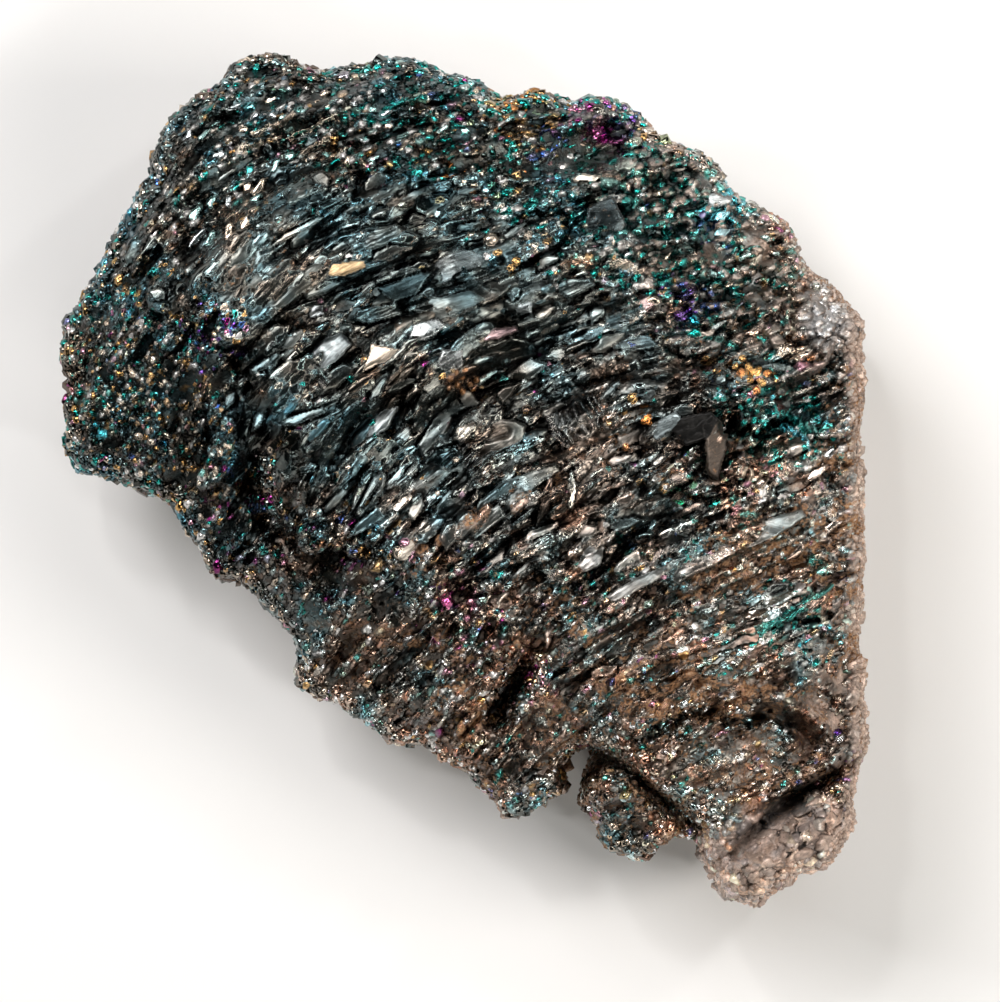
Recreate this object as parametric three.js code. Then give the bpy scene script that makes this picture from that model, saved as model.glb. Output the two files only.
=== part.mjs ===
// Silicon carbide crystal: one hand-sized chunk of dark, plated crystals grown together.
// Units are millimetres, +Z is up. The chunk lies on its broken underside, with its broad
// crystal face up. The origin is the centre of its footprint box, on the resting plane.
//
// The body is one closed solid. Its shape is the outline seen from above, a crystal face made
// of five gently tilted planes that run into each other, steep sides, and an underside of
// broken planes round one flat that it rests on. The crystal face is furrowed between its
// bundles of plates, its left lobe lies lower behind a crevice, and at the lower right it has
// a long cavity, an arched ridge, a groove, a slot and a notch that is open through the rim.

import * as THREE from 'three';

// ---- driving dimensions, mm ----
const WIDTH = 80.3;         // overall, along X
const DEPTH = 84.1;         // overall, along Y
const HEIGHT = 35.4;        // overall, along Z
const FACE_Z = 34.0;        // height of the crystal face near the middle
const FACE_BLEND = 4.0;     // how softly the face's planes run into each other
const SIDE_BLEND = 2.5;     // rounding between face, sides and underside
const GIRTH_Z = 15.0;       // height at which the chunk is widest
const SHOULDER_H = 17.0;    // from the girth up to where the sides have curved in fully
const SHOULDER_IN = 8.0;    // how far the sides curve in over that height
const SKIN_IN = 2.4;        // the same on the flat outer skin at +X
const UNDERCUT_IN = 5.0;    // how far the sides curve in under the girth
const SKIN_UNDERCUT = 1.6;  // the same on the skin
const LUMP = 0.55;          // height of the low swells on every surface
const FURROW_W = 1.7;       // half width of the furrows between bundles of plates
const RIDGE_H = 0.40;       // height of the long low ridges that the bundles make
const RIDGE_GAP = 5.6;      // from one ridge to the next
const LOBE_DROP = 1.6;      // how much lower the left lobe lies
const NOTCH_R = 1.7;        // half width of the notch in the lower rim
const CELL = 2.1;           // spacing at which the surface is laid out
const SOFTEN = 0.5;         // how much details finer than that spacing are softened
const ALONE = 0.8;          // a corner this far from the middle of its neighbours stands alone

// Outline of the girth seen from above, counter-clockwise from the lower right, mm.
const OUTLINE = [
  [38.5, -34.5], [39.5, -29.0], [40.2, -23.8], [39.7, -18.5], [39.6, -10.0], [39.7, -2.0], [39.6, 6.5],
  [39.8, 16.0], [38.6, 17.6], [36.6, 19.4], [34.6, 21.0], [33.8, 22.8], [32.6, 25.3], [30.4, 26.4],
  [28.2, 27.5], [26.0, 29.9], [23.6, 32.6], [21.4, 33.6], [19.2, 34.2], [17.2, 36.6], [15.6, 37.4],
  [13.6, 38.3], [10.9, 37.7], [7.6, 38.4], [3.6, 38.1], [0.2, 39.6], [-2.6, 40.8], [-5.2, 41.6],
  [-8.9, 41.8], [-11.3, 40.5], [-14.4, 40.2], [-16.9, 41.3], [-19.2, 42.3], [-22.4, 41.3],
  [-24.8, 39.6], [-27.3, 37.9], [-29.3, 35.2], [-31.2, 32.6], [-31.7, 29.8], [-33.4, 26.4],
  [-35.4, 22.8], [-37.4, 19.4], [-40.2, 15.1], [-40.1, 11.0], [-39.0, 9.6], [-39.9, 7.4], [-40.0, 4.0],
  [-39.5, 1.6], [-38.2, 0.5], [-35.0, 0.0], [-33.0, -1.4], [-30.8, -1.4], [-29.1, -2.5], [-27.0, -6.0],
  [-25.4, -9.3], [-22.1, -10.4], [-19.8, -12.8], [-17.5, -15.5], [-16.6, -18.0], [-17.0, -21.0],
  [-14.0, -22.3], [-11.0, -23.1], [-8.8, -25.4], [-7.0, -26.9], [-4.0, -26.5], [-2.8, -28.6],
  [-0.3, -29.1], [1.4, -31.6], [3.6, -33.1], [5.0, -33.5], [7.7, -32.3], [9.9, -30.7], [11.4, -32.0],
  [13.1, -34.2], [14.6, -36.8], [17.0, -37.9], [19.2, -37.2], [20.6, -35.6], [22.6, -36.4],
  [24.2, -38.8], [25.6, -41.8], [29.4, -42.2], [31.8, -40.8], [34.2, -39.6], [36.4, -38.2],
];
// The ridges and bundles of plates curve round this point.
const BEND_AT = [45.6, -50.8];
// Furrows between the bundles: depth, then points along each.
const FURROWS = [
  [1.8, [-12.7, 7.9], [-6.1, 12.0], [1.6, 14.3], [9.3, 16.9], [14.1, 17.5]],
  [1.8, [-6.3, -0.8], [-1.3, 2.4], [4.0, 4.4]],
  [1.8, [4.1, -12.1], [9.3, -8.5], [14.1, -6.6], [22.8, -2.5]],
  [1.6, [-15.5, 12.1], [-10.6, 14.8], [-4.2, 17.0], [3.5, 20.7]],
  [1.4, [-4.2, -4.6], [0.6, -2.0], [5.4, 0.7], [11.7, 4.6]],
  [1.6, [12.9, -16.6], [18.0, -13.9], [24.8, -11.4], [32.6, -8.0]],
  [1.5, [21.9, 0.7], [28.7, 2.5], [35.6, 4.7]],
  [1.5, [17.0, -19.5], [22.8, -17.1], [30.7, -14.8], [37.5, -12.5]],
  [1.6, [-28.3, 27.7], [-25.5, 31.7], [-20.6, 35.8]],
  [1.4, [-15.6, 22.2], [-9.9, 25.2], [-3.2, 27.6], [3.5, 29.1]],
  [1.4, [0.6, 7.9], [7.3, 10.1], [14.1, 12.1]],
  [1.5, [26.4, 17.3], [32.0, 18.5], [37.1, 18.8]],
  [1.3, [-11.2, -15.8], [-7.0, -12.4], [-3.2, -9.4]],
  [1.5, [-12.7, 0.7], [-10.6, 4.5], [-7.0, 7.9]],
];
const CREVICE = [[-23.0, 14.8], [-21.0, 12.6], [-19.8, 7.4], [-20.4, 2.2], [-19.5, -4.1], [-15.9, -8.0]];
const ARCH = [[17.0, -23.0], [19.1, -21.5], [22.8, -20.9], [26.9, -21.5], [29.7, -21.0], [33.2, -22.7], [35.0, -24.5]];
const UNDER_ARCH = [[17.8, -25.4], [19.7, -24.0], [23.6, -23.7], [27.5, -24.3], [32.2, -25.2]];
const GROOVE = [[24.6, -38.0], [27.0, -35.8], [30.9, -32.4], [37.5, -28.2]];
const SLOT = [[14.4, -27.6], [17.1, -29.5], [19.8, -31.9], [23.3, -34.8]];
const CAVITY = [[2.9, -23.4], [4.7, -20.6], [6.4, -17.8]];
const NOTCH = [[12.8, -27.4], [11.6, -29.6], [10.4, -33.4]];
// Round pits in the face: place, half width, depth.
const PITS = [[-26.5, 22.1, 2.0, 3.4], [-12.9, -8.0, 2.2, 2.4], [26.6, 4.4, 1.9, 3.6]];
const BLOCK = [22.1, 4.4, 2.6, 1.0]; // a standing block: place, half width, height

const smin = (a, b, k) => {
  const h = Math.max(k - Math.abs(a - b), 0) / k;
  return Math.min(a, b) - h * h * k * 0.25;
};
const step = (a, b, x) => {
  const t = Math.min(Math.max((x - a) / (b - a), 0), 1);
  return t * t * (3 - 2 * t);
};

// Distance from a row of points joined by straight lines.
function away(x, y, points) {
  let best = 1e9;
  for (let i = 1; i < points.length; i++) {
    const [ax, ay] = points[i - 1];
    const ex = points[i][0] - ax;
    const ey = points[i][1] - ay;
    const t = Math.min(Math.max(((x - ax) * ex + (y - ay) * ey) / (ex * ex + ey * ey), 0), 1);
    best = Math.min(best, Math.hypot(x - ax - t * ex, y - ay - t * ey));
  }
  return best;
}
const bump = (d, w) => Math.exp(-((d / w) ** 2));

// How far inside the outline a point is.
function inside(x, y) {
  let odd = false;
  for (let i = 0, j = OUTLINE.length - 1; i < OUTLINE.length; j = i++) {
    const [ax, ay] = OUTLINE[j];
    const [bx, by] = OUTLINE[i];
    if ((ay > y) !== (by > y) && x < (bx - ax) * (y - ay) / (by - ay) + ax) odd = !odd;
  }
  const near = away(x, y, [...OUTLINE, OUTLINE[0]]);
  return odd ? near : -near;
}

// Low swells, the same on every side.
const swell = (x, y, z) => LUMP * (
  Math.sin(0.31 * x + 0.17 * y + 0.40 * z + 0.7) + Math.sin(-0.21 * x + 0.36 * y + 0.23 * z + 2.1)
  + Math.sin(0.12 * x - 0.27 * y + 0.52 * z + 4.0));

// The crystal face: five planes, highest at left of middle and falling away to the rims.
function face(x, y) {
  let z = FACE_Z - 0.16 * (x + 10);
  z = smin(z, 33 + 0.42 * (x + 29), FACE_BLEND);
  z = smin(z, 34 - 0.78 * (-0.55 * x - 0.83 * y - 7), FACE_BLEND);
  z = smin(z, 33 - 0.72 * (0.62 * x + 0.78 * y - 20), FACE_BLEND);
  z = smin(z, 33.5 - 0.62 * (-0.2 * x + 0.98 * y - 28), FACE_BLEND);
  return z;
}

// What stands over the planes of the crystal face and what is sunk into them.
function relief(x, y) {
  const lobe = (1 - step(-26.0, -20.5, x - 0.16 * y)) * (1 - step(14.6, 18.5, y));
  const round = Math.hypot(x - BEND_AT[0], y - BEND_AT[1]);
  let z = RIDGE_H * Math.sin((2 * Math.PI * round) / RIDGE_GAP + 0.8 * Math.sin(0.11 * x + 0.07 * y)) * (1 - lobe);
  let cut = 0;
  for (const [deep, ...points] of FURROWS) cut = Math.max(cut, deep * bump(away(x, y, points), FURROW_W));
  z -= cut + LOBE_DROP * lobe;
  z -= 3.2 * bump(away(x, y, CREVICE), 1.6);
  z += 1.9 * bump(away(x, y, ARCH), 1.4);
  z -= 2.8 * bump(away(x, y, UNDER_ARCH), 1.2);
  z -= 3.6 * bump(away(x, y, GROOVE), 1.4);
  z -= 7.0 * bump(away(x, y, SLOT), 1.4);
  z -= 5.5 * bump(away(x, y, CAVITY), 1.9);
  for (const [px, py, wide, deep] of PITS) z -= deep * bump(Math.hypot(x - px, y - py), wide);
  return z + BLOCK[3] * Math.exp(-((Math.hypot(x - BLOCK[0], y - BLOCK[1]) / BLOCK[2]) ** 4));
}

// The broken underside: planes that rise from the resting flat to the girth.
function under(x, y) {
  return Math.max(
    0.52 * (-x - 17),
    0.50 * (0.62 * x + 0.78 * y - 23),
    0.58 * (-0.35 * x - 0.94 * y - 21),
    0.46 * (-0.5 * x + 0.87 * y - 25),
    0.40 * (0.97 * x - 0.24 * y - 33),
  );
}

// What the material over and under one point of the plan depends on.
function column(x, y) {
  const depth = inside(x, y);
  const fade = Math.min(Math.max(depth / 3, 0), 1);
  return {
    depth,
    skin: step(30, 37, x) * step(-41, -34, y) * step(24, 17, y),
    notch: away(x, y, NOTCH) - NOTCH_R,
    top: (face(x, y) + relief(x, y)) * 0.85 + swell(x, y, 30) * fade,
    low: -under(x, y) * 0.9 + swell(x, y, 0) * 0.8 * fade,
  };
}

// Positive in the material.
function material(c, z) {
  const rise = Math.min(Math.max((z - GIRTH_Z) / SHOULDER_H, 0), 1);
  const drop = Math.min(Math.max((GIRTH_Z - z) / GIRTH_Z, 0), 1);
  const curved = (SHOULDER_IN + (SKIN_IN - SHOULDER_IN) * c.skin) * (1 - Math.sqrt(1 - rise * rise))
    + (UNDERCUT_IN + (SKIN_UNDERCUT - UNDERCUT_IN) * c.skin) * (1 - Math.sqrt(1 - drop * drop))
    + Math.max(z - GIRTH_Z - SHOULDER_H, 0) * 2;
  const side = smin(c.depth - curved, c.notch, 1.2);
  return Math.min(smin(smin(side, c.top - 0.85 * z, SIDE_BLEND), c.low + 0.9 * z, SIDE_BLEND), z);
}
const materialAt = (x, y, z) => material(column(x, y), z);

// Lays a skin of four-cornered faces where the material ends: one corner in each cell of the grid that the
// surface passes through.
function chunk() {
  const start = [-44.3, -46.2, -0.5 * CELL];
  const count = [Math.ceil(89 / CELL), Math.ceil(93 / CELL), Math.ceil(40 / CELL)];
  const at = (i, axis) => start[axis] + i * CELL;
  const spot = (i, j, k) => (i * (count[1] + 1) + j) * (count[2] + 1) + k;
  const value = (i, j, k) => values[spot(i, j, k)];
  const values = new Float64Array((count[0] + 1) * (count[1] + 1) * (count[2] + 1));
  let n = 0;
  for (let i = 0; i <= count[0]; i++) {
    for (let j = 0; j <= count[1]; j++) {
      const c = column(at(i, 0), at(j, 1));
      for (let k = 0; k <= count[2]; k++) values[n++] = material(c, at(k, 2));
    }
  }
  // Details thinner than one grid step are softened rather than broken up.
  const steps = [spot(1, 0, 0), spot(0, 1, 0), spot(0, 0, 1)];
  const old = values.slice();
  for (let i = 1; i < count[0]; i++) {
    for (let j = 1; j < count[1]; j++) {
      for (let k = 2; k < count[2]; k++) {
        const here = spot(i, j, k);
        const round = steps.reduce((sum, s) => sum + old[here + s] + old[here - s], 0) / 6;
        values[here] += SOFTEN * (round - old[here]);
      }
    }
  }
  // A grid point that is alone on its side of the surface joins the others.
  for (let i = 1; i < count[0]; i++) {
    for (let j = 1; j < count[1]; j++) {
      for (let k = 1; k < count[2]; k++) {
        const here = spot(i, j, k);
        const other = steps.reduce((sum, s) => sum + (values[here + s] > 0 !== values[here] > 0) + (values[here - s] > 0 !== values[here] > 0), 0);
        if (other > 4) values[here] = values[here] > 0 ? -0.1 : 0.1;
      }
    }
  }
  // Where two parts would touch along an edge or at a corner only, the grid point nearest to the surface changes sides.
  const turns = [[[1, 0, 0], [0, 1, 0]], [[0, 1, 0], [0, 0, 1]], [[1, 0, 0], [0, 0, 1]]];
  const across = [[0, 7], [1, 6], [2, 5], [3, 4]];
  const box = [0, 1, 2, 3, 4, 5, 6, 7].map((b) => spot(b & 1, (b >> 1) & 1, (b >> 2) & 1));
  const changed = new Set();
  const change = (ring) => {
    const free = ring.filter((r) => !changed.has(r));
    const r = free.sort((e, f) => Math.abs(values[e]) - Math.abs(values[f]))[0] ?? ring[values[ring[0]] > 0 ? 1 : 0];
    values[r] = values[r] > 0 ? -0.1 : 0.1;
    changed.add(r);
  };
  for (let again = true; again;) {
    again = false;
    for (let i = 0; i < count[0]; i++) {
      for (let j = 0; j < count[1]; j++) {
        for (let k = 0; k < count[2]; k++) {
          for (const [u, v] of turns) {
            const ring = [[0, 0], [1, 0], [1, 1], [0, 1]].map(([a, b]) => spot(i + a * u[0] + b * v[0], j + a * u[1] + b * v[1], k + a * u[2] + b * v[2]));
            const [a, b, c, d] = ring.map((r) => values[r] > 0);
            if (a !== c || b !== d || a === b) continue;
            change(ring);
            again = true;
          }
          const cell = box.map((b) => b + spot(i, j, k));
          const within = cell.filter((r) => values[r] > 0).length;
          if (within !== 2 && within !== 6) continue;
          for (const [a, b] of across) {
            if (values[cell[a]] > 0 !== (within === 2) || values[cell[b]] > 0 !== (within === 2)) continue;
            change([cell[a], cell[b]]);
            again = true;
          }
        }
      }
    }
  }
  const corners = [0, 1, 2, 3, 4, 5, 6, 7].map((b) => [b & 1, (b >> 1) & 1, (b >> 2) & 1]);
  const number = new Map();
  const key = (i, j, k) => (i * 1000 + j) * 1000 + k;
  const vertices = [];
  for (let i = 0; i < count[0]; i++) {
    for (let j = 0; j < count[1]; j++) {
      for (let k = 0; k < count[2]; k++) {
        const f = corners.map(([a, b, c]) => value(i + a, j + b, k + c));
        if (f.every((v) => v > 0) || f.every((v) => v <= 0)) continue;
        const sum = [0, 0, 0];
        let hits = 0;
        for (let a = 0; a < 8; a++) {
          for (const bit of [1, 2, 4]) {
            const b = a | bit;
            if (b === a || (f[a] > 0) === (f[b] > 0)) continue;
            const t = f[a] / (f[a] - f[b]);
            for (let d = 0; d < 3; d++) sum[d] += corners[a][d] + t * (corners[b][d] - corners[a][d]);
            hits++;
          }
        }
        const p = [0, 1, 2].map((d) => at([i, j, k][d] + sum[d] / hits, d));
        number.set(key(i, j, k), vertices.length);
        if (Math.abs(p[2]) < 0.06) p[2] = 0;
        vertices.push(p);
      }
    }
  }
  const quads = [];
  for (let i = 1; i < count[0]; i++) {
    for (let j = 1; j < count[1]; j++) {
      for (let k = 0; k < count[2]; k++) {
        const here = value(i, j, k) > 0;
        const rings = [
          [value(i + 1, j, k) > 0, [[i, j - 1, k - 1], [i, j, k - 1], [i, j, k], [i, j - 1, k]]],
          [value(i, j + 1, k) > 0, [[i - 1, j, k - 1], [i - 1, j, k], [i, j, k], [i, j, k - 1]]],
          [value(i, j, k + 1) > 0, [[i - 1, j - 1, k], [i, j - 1, k], [i, j, k], [i - 1, j, k]]],
        ];
        for (const [there, cells] of rings) {
          if (here === there) continue;
          const ring = cells.map(([a, b, c]) => number.get(key(a, b, c)));
          quads.push(here ? ring : ring.reverse());
        }
      }
    }
  }
  return [even(vertices, quads), biggest(vertices.length, quads)];
}

// Evens out the skin: each point moves part of the way to the middle of its neighbours, and then part of the way back to
// the surface. Points on the resting plane stay on it. Last, a point that stands alone is brought in line with its neighbours.
function even(vertices, quads) {
  const near = vertices.map(() => new Set());
  for (const ring of quads) ring.forEach((a, n) => near[a].add(ring[(n + 1) % 4]).add(ring[(n + 3) % 4]));
  let now = vertices;
  for (let turn = 0; turn < 7; turn++) {
    now = now.map((p, a) => {
      if (near[a].size === 0) return p;
      const middle = [0, 1, 2].map((d) => [...near[a]].reduce((sum, b) => sum + now[b][d], 0) / near[a].size);
      if (turn > 3) return p[2] === 0 || Math.hypot(...p.map((v, d) => v - middle[d])) < ALONE ? p : p.map((v, d) => v + 0.7 * (middle[d] - v));
      const q = [0, 1, 2].map((d) => p[d] + 0.6 * (middle[d] - p[d]));
      if (p[2] === 0) return [q[0], q[1], 0];
      const f = materialAt(...q);
      const g = [0, 1, 2].map((d) => (materialAt(...q.map((v, e) => (d === e ? v + 0.4 : v))) - materialAt(...q.map((v, e) => (d === e ? v - 0.4 : v)))) / 0.8);
      const steep = Math.max(g[0] ** 2 + g[1] ** 2 + g[2] ** 2, 0.5);
      const much = Math.max(Math.min((0.55 * f) / steep, 0.5), -0.5);
      return [q[0] - much * g[0], q[1] - much * g[1], Math.max(q[2] - much * g[2], 0.02)];
    });
  }
  return now;
}

// Keeps the largest joined part of the skin.
function biggest(size, quads) {
  const root = Array.from({ length: size }, (_, i) => i);
  const find = (a) => {
    while (root[a] !== a) a = root[a] = root[root[a]];
    return a;
  };
  for (const [a, b, c, d] of quads) for (const e of [b, c, d]) root[find(e)] = find(a);
  const share = new Map();
  for (const [a] of quads) share.set(find(a), (share.get(find(a)) || 0) + 1);
  const best = [...share.entries()].sort((a, b) => b[1] - a[1])[0][0];
  return quads.filter(([a]) => find(a) === best);
}

function solid() {
  const [vertices, quads] = chunk();
  const used = new Map();
  const points = [];
  const take = (a) => {
    if (!used.has(a)) {
      used.set(a, points.length);
      points.push(vertices[a]);
    }
    return used.get(a);
  };
  const index = [];
  for (const ring of quads) {
    const [a, b, c, d] = ring.map(take);
    const across = (p, q) => Math.hypot(...[0, 1, 2].map((e) => points[p][e] - points[q][e]));
    if (across(a, c) < across(b, d)) index.push(a, b, c, a, c, d);
    else index.push(a, b, d, b, c, d);
  }
  // The overall size is held exactly.
  const low = [0, 1, 2].map((d) => Math.min(...points.map((p) => p[d])));
  const high = [0, 1, 2].map((d) => Math.max(...points.map((p) => p[d])));
  const size = [WIDTH, DEPTH, HEIGHT];
  const placed = points.flatMap((p) => [0, 1, 2].map((d) => ((p[d] - low[d]) / (high[d] - low[d]) - (d < 2 ? 0.5 : 0)) * size[d]));
  const geometry = new THREE.BufferGeometry();
  geometry.setAttribute('position', new THREE.Float32BufferAttribute(placed, 3));
  geometry.setIndex(index);
  geometry.computeVertexNormals();
  return geometry;
}

const group = new THREE.Group();
const crystal = new THREE.Mesh(
  solid(),
  new THREE.MeshStandardMaterial({ name: 'silicon_carbide', color: 0x24282a, roughness: 0.28, metalness: 0.85 }),
);
crystal.name = 'crystal_mass';
group.add(crystal);

export default group;
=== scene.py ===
"""Looks for the silicon carbide crystal.

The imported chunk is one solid. Here its skin is built again from the same outline and faces, with the relief of the
real piece (crevices, pits, ridges, the notch in the lower rim), and thousands of separate small crystals are grown on
it along the direction in which the piece grew: long blades, flat plates, slivers and fine druse grains.
All lengths below are millimetres in the part's frame; Blender gets metres.
"""

import math

import bpy
import numpy as np
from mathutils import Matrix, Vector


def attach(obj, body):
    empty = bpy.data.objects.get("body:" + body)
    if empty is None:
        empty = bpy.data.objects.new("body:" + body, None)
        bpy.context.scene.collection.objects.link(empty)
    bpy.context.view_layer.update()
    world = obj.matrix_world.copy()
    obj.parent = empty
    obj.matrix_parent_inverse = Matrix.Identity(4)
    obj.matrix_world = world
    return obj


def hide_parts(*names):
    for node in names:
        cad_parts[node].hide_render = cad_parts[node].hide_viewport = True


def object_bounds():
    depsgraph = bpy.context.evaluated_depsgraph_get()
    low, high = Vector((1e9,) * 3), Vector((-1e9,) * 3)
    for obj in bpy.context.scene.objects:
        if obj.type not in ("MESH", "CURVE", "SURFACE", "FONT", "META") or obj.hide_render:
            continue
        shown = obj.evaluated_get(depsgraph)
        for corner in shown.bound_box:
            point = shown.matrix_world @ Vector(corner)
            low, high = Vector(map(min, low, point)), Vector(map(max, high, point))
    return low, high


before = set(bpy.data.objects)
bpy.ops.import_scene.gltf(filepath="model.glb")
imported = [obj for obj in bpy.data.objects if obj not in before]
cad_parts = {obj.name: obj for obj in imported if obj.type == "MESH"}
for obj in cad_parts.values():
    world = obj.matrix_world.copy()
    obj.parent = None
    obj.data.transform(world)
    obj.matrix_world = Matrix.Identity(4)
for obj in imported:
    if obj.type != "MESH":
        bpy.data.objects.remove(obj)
CAD_LO, CAD_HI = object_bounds()
rng = np.random.default_rng(41017)

# ---------------------------------------------------------------- the view
LENS = 150.0
GIRTH_Z = 15.0
VIEW_H = 100.2 / 36.0 * LENS  # camera height over the girth, so that one picture dot is 0.1 mm there
CX, CY = 3.5, -2.25  # what the picture is centred on


def dots(x, y, z):
    """Where a point of the part falls in a 1000 x 1002 picture taken from straight above."""
    k = VIEW_H / (VIEW_H - (z - GIRTH_Z))
    return 500 + (x - CX) * 10 * k, 501 - (y - CY) * 10 * k


# ---------------------------------------------------------------- small maths
def step(a, b, x):
    t = np.clip((x - a) / (b - a), 0, 1)
    return t * t * (3 - 2 * t)


def smin(a, b, k):
    h = np.maximum(k - np.abs(a - b), 0) / k
    return np.minimum(a, b) - h * h * k * 0.25


def unit(v):
    return v / np.maximum(np.linalg.norm(v, axis=-1, keepdims=True), 1e-12)


def mix(a, b, t):
    return a + (b - a) * t


TABLE = np.random.default_rng(7).random(1 << 16).astype(np.float32)


def lattice(i, j, k, seed):
    h = (i * 73856093) ^ (j * 19349663) ^ (k * 83492791) ^ (seed * 2654435761)
    h = (h ^ (h >> 13)) * 1274126177
    return TABLE[(h ^ (h >> 16)) & 0xFFFF]


def noise3(x, y, z, size, seed):
    """Smooth noise from -1 to 1 whose bumps are about size mm across."""
    x, y, z = np.broadcast_arrays(x / size, y / size, z / size)
    i, j, k = (np.floor(v).astype(np.int64) for v in (x, y, z))
    u, v, w = (a - b for a, b in ((x, i), (y, j), (z, k)))
    u, v, w = (a * a * (3 - 2 * a) for a in (u, v, w))
    out = 0
    for di, wi in ((0, 1 - u), (1, u)):
        for dj, wj in ((0, 1 - v), (1, v)):
            for dk, wk in ((0, 1 - w), (1, w)):
                out = out + wi * wj * wk * lattice(i + di, j + dj, k + dk, seed)
    return out * 2 - 1


# ---------------------------------------------------------------- the chunk, as in the CAD
OUTLINE = np.array(
    [
        [38.5, -34.5], [39.5, -29.0], [40.2, -23.8], [39.7, -18.5], [39.6, -10.0], [39.7, -2.0], [39.6, 6.5],
        [39.8, 16.0], [38.6, 17.6], [36.6, 19.4], [34.6, 21.0], [33.8, 22.8], [32.6, 25.3], [30.4, 26.4],
        [28.2, 27.5], [26.0, 29.9], [23.6, 32.6], [21.4, 33.6], [19.2, 34.2], [17.2, 36.6], [15.6, 37.4],
        [13.6, 38.3], [10.9, 37.7], [7.6, 38.4], [3.6, 38.1], [0.2, 39.6], [-2.6, 40.8], [-5.2, 41.6],
        [-8.9, 41.8], [-11.3, 40.5], [-14.4, 40.2], [-16.9, 41.3], [-19.2, 42.3], [-22.4, 41.3],
        [-24.8, 39.6], [-27.3, 37.9], [-29.3, 35.2], [-31.2, 32.6], [-31.7, 29.8], [-33.4, 26.4],
        [-35.4, 22.8], [-37.4, 19.4], [-40.2, 15.1], [-40.1, 11.0], [-39.0, 9.6], [-39.9, 7.4], [-40.0, 4.0],
        [-39.5, 1.6], [-38.2, 0.5], [-35.0, 0.0], [-33.0, -1.4], [-30.8, -1.4], [-29.1, -2.5], [-27.0, -6.0],
        [-25.4, -9.3], [-22.1, -10.4], [-19.8, -12.8], [-17.5, -15.5], [-16.6, -18.0], [-17.0, -21.0],
        [-14.0, -22.3], [-11.0, -23.1], [-8.8, -25.4], [-7.0, -26.9], [-4.0, -26.5], [-2.8, -28.6],
        [-0.3, -29.1], [1.4, -31.6], [3.6, -33.1], [5.0, -33.5], [7.7, -32.3], [9.9, -30.7], [11.4, -32.0],
        [13.1, -34.2], [14.6, -36.8], [17.0, -37.9], [19.2, -37.2], [20.6, -35.6], [22.6, -36.4],
        [24.2, -38.8], [25.6, -41.8], [29.4, -42.2], [31.8, -40.8], [34.2, -39.6], [36.4, -38.2],
    ]
)  # fmt: skip
SKIN = 0.75  # how far the body stays inside the chunk's faces, so that the crystals on it reach them


def chunk_face(x, y):
    z = 34.0 - 0.16 * (x + 10)
    z = smin(z, 33 + 0.42 * (x + 29), 4.0)
    z = smin(z, 34 - 0.78 * (-0.55 * x - 0.83 * y - 7), 4.0)
    z = smin(z, 33 - 0.72 * (0.62 * x + 0.78 * y - 20), 4.0)
    return smin(z, 33.5 - 0.62 * (-0.2 * x + 0.98 * y - 28), 4.0)


def chunk_under(x, y):
    return np.maximum.reduce(
        [
            0.52 * (-x - 17),
            0.50 * (0.62 * x + 0.78 * y - 23),
            0.58 * (-0.35 * x - 0.94 * y - 21),
            0.46 * (-0.5 * x + 0.87 * y - 25),
            0.40 * (0.97 * x - 0.24 * y - 33),
        ]
    )


def swell(x, y, z):
    return 0.55 * (
        np.sin(0.31 * x + 0.17 * y + 0.40 * z + 0.7)
        + np.sin(-0.21 * x + 0.36 * y + 0.23 * z + 2.1)
        + np.sin(0.12 * x - 0.27 * y + 0.52 * z + 4.0)
    )


# ---------------------------------------------------------------- maps over the plan
PITCH = 0.125
GROUP = 4  # the slabs of the fine mesh have one coarse cell underneath per this many fine ones
NX, NY = 172 * GROUP + 1, 179 * GROUP + 1
GX = (np.arange(NX) - NX // 2) * PITCH
GY = (np.arange(NY) - NY // 2) * PITCH
MX, MY = np.meshgrid(GX, GY, indexing="ij")


def sample(m, x, y):
    """Reads a map at any place by bilinear interpolation."""
    fx = np.clip((x - GX[0]) / PITCH, 0, len(GX) - 1.001)
    fy = np.clip((y - GY[0]) / PITCH, 0, len(GY) - 1.001)
    i, j = fx.astype(int), fy.astype(int)
    u, v = fx - i, fy - j
    return (m[i, j] * (1 - u) + m[i + 1, j] * u) * (1 - v) + (m[i, j + 1] * (1 - u) + m[i + 1, j + 1] * u) * v


def blur(m, mm):
    """Gaussian blur of a map."""
    kx = np.fft.fftfreq(m.shape[0], PITCH)[:, None]
    ky = np.fft.rfftfreq(m.shape[1], PITCH)[None, :]
    g = np.exp(-2 * (math.pi * mm) ** 2 * (kx**2 + ky**2))
    return np.fft.irfft2(np.fft.rfft2(m) * g, s=m.shape)


def outline_distance():
    """Distance in from the outline, negative outside it."""
    best = np.full(MX.shape, 1e9)
    odd = np.zeros(MX.shape, bool)
    for (ax, ay), (bx, by) in zip(OUTLINE, np.roll(OUTLINE, -1, 0)):
        dx, dy = bx - ax, by - ay
        t = np.clip(((MX - ax) * dx + (MY - ay) * dy) / (dx * dx + dy * dy), 0, 1)
        best = np.minimum(best, (MX - ax - t * dx) ** 2 + (MY - ay - t * dy) ** 2)
        if ay != by:
            odd ^= ((ay > MY) != (by > MY)) & (MX < ax + (MY - ay) * dx / (by - ay))
    return np.where(odd, 1, -1) * np.sqrt(best)


DEPTH = outline_distance()
FACE = chunk_face(MX, MY)
PX, PY = dots(MX, MY, np.clip(FACE, GIRTH_Z, 35))  # the picture dot of each place on the upper face


def ellipse(cx, cy, rx, ry, tilt):
    """0 at the middle of an ellipse given in dots and 1 on its rim. tilt turns it, in degrees anticlockwise as seen."""
    a = math.radians(tilt)
    dx, dy = PX - cx, -(PY - cy)
    u, v = dx * math.cos(a) + dy * math.sin(a), -dx * math.sin(a) + dy * math.cos(a)
    return np.hypot(u / rx, v / ry)


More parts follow.
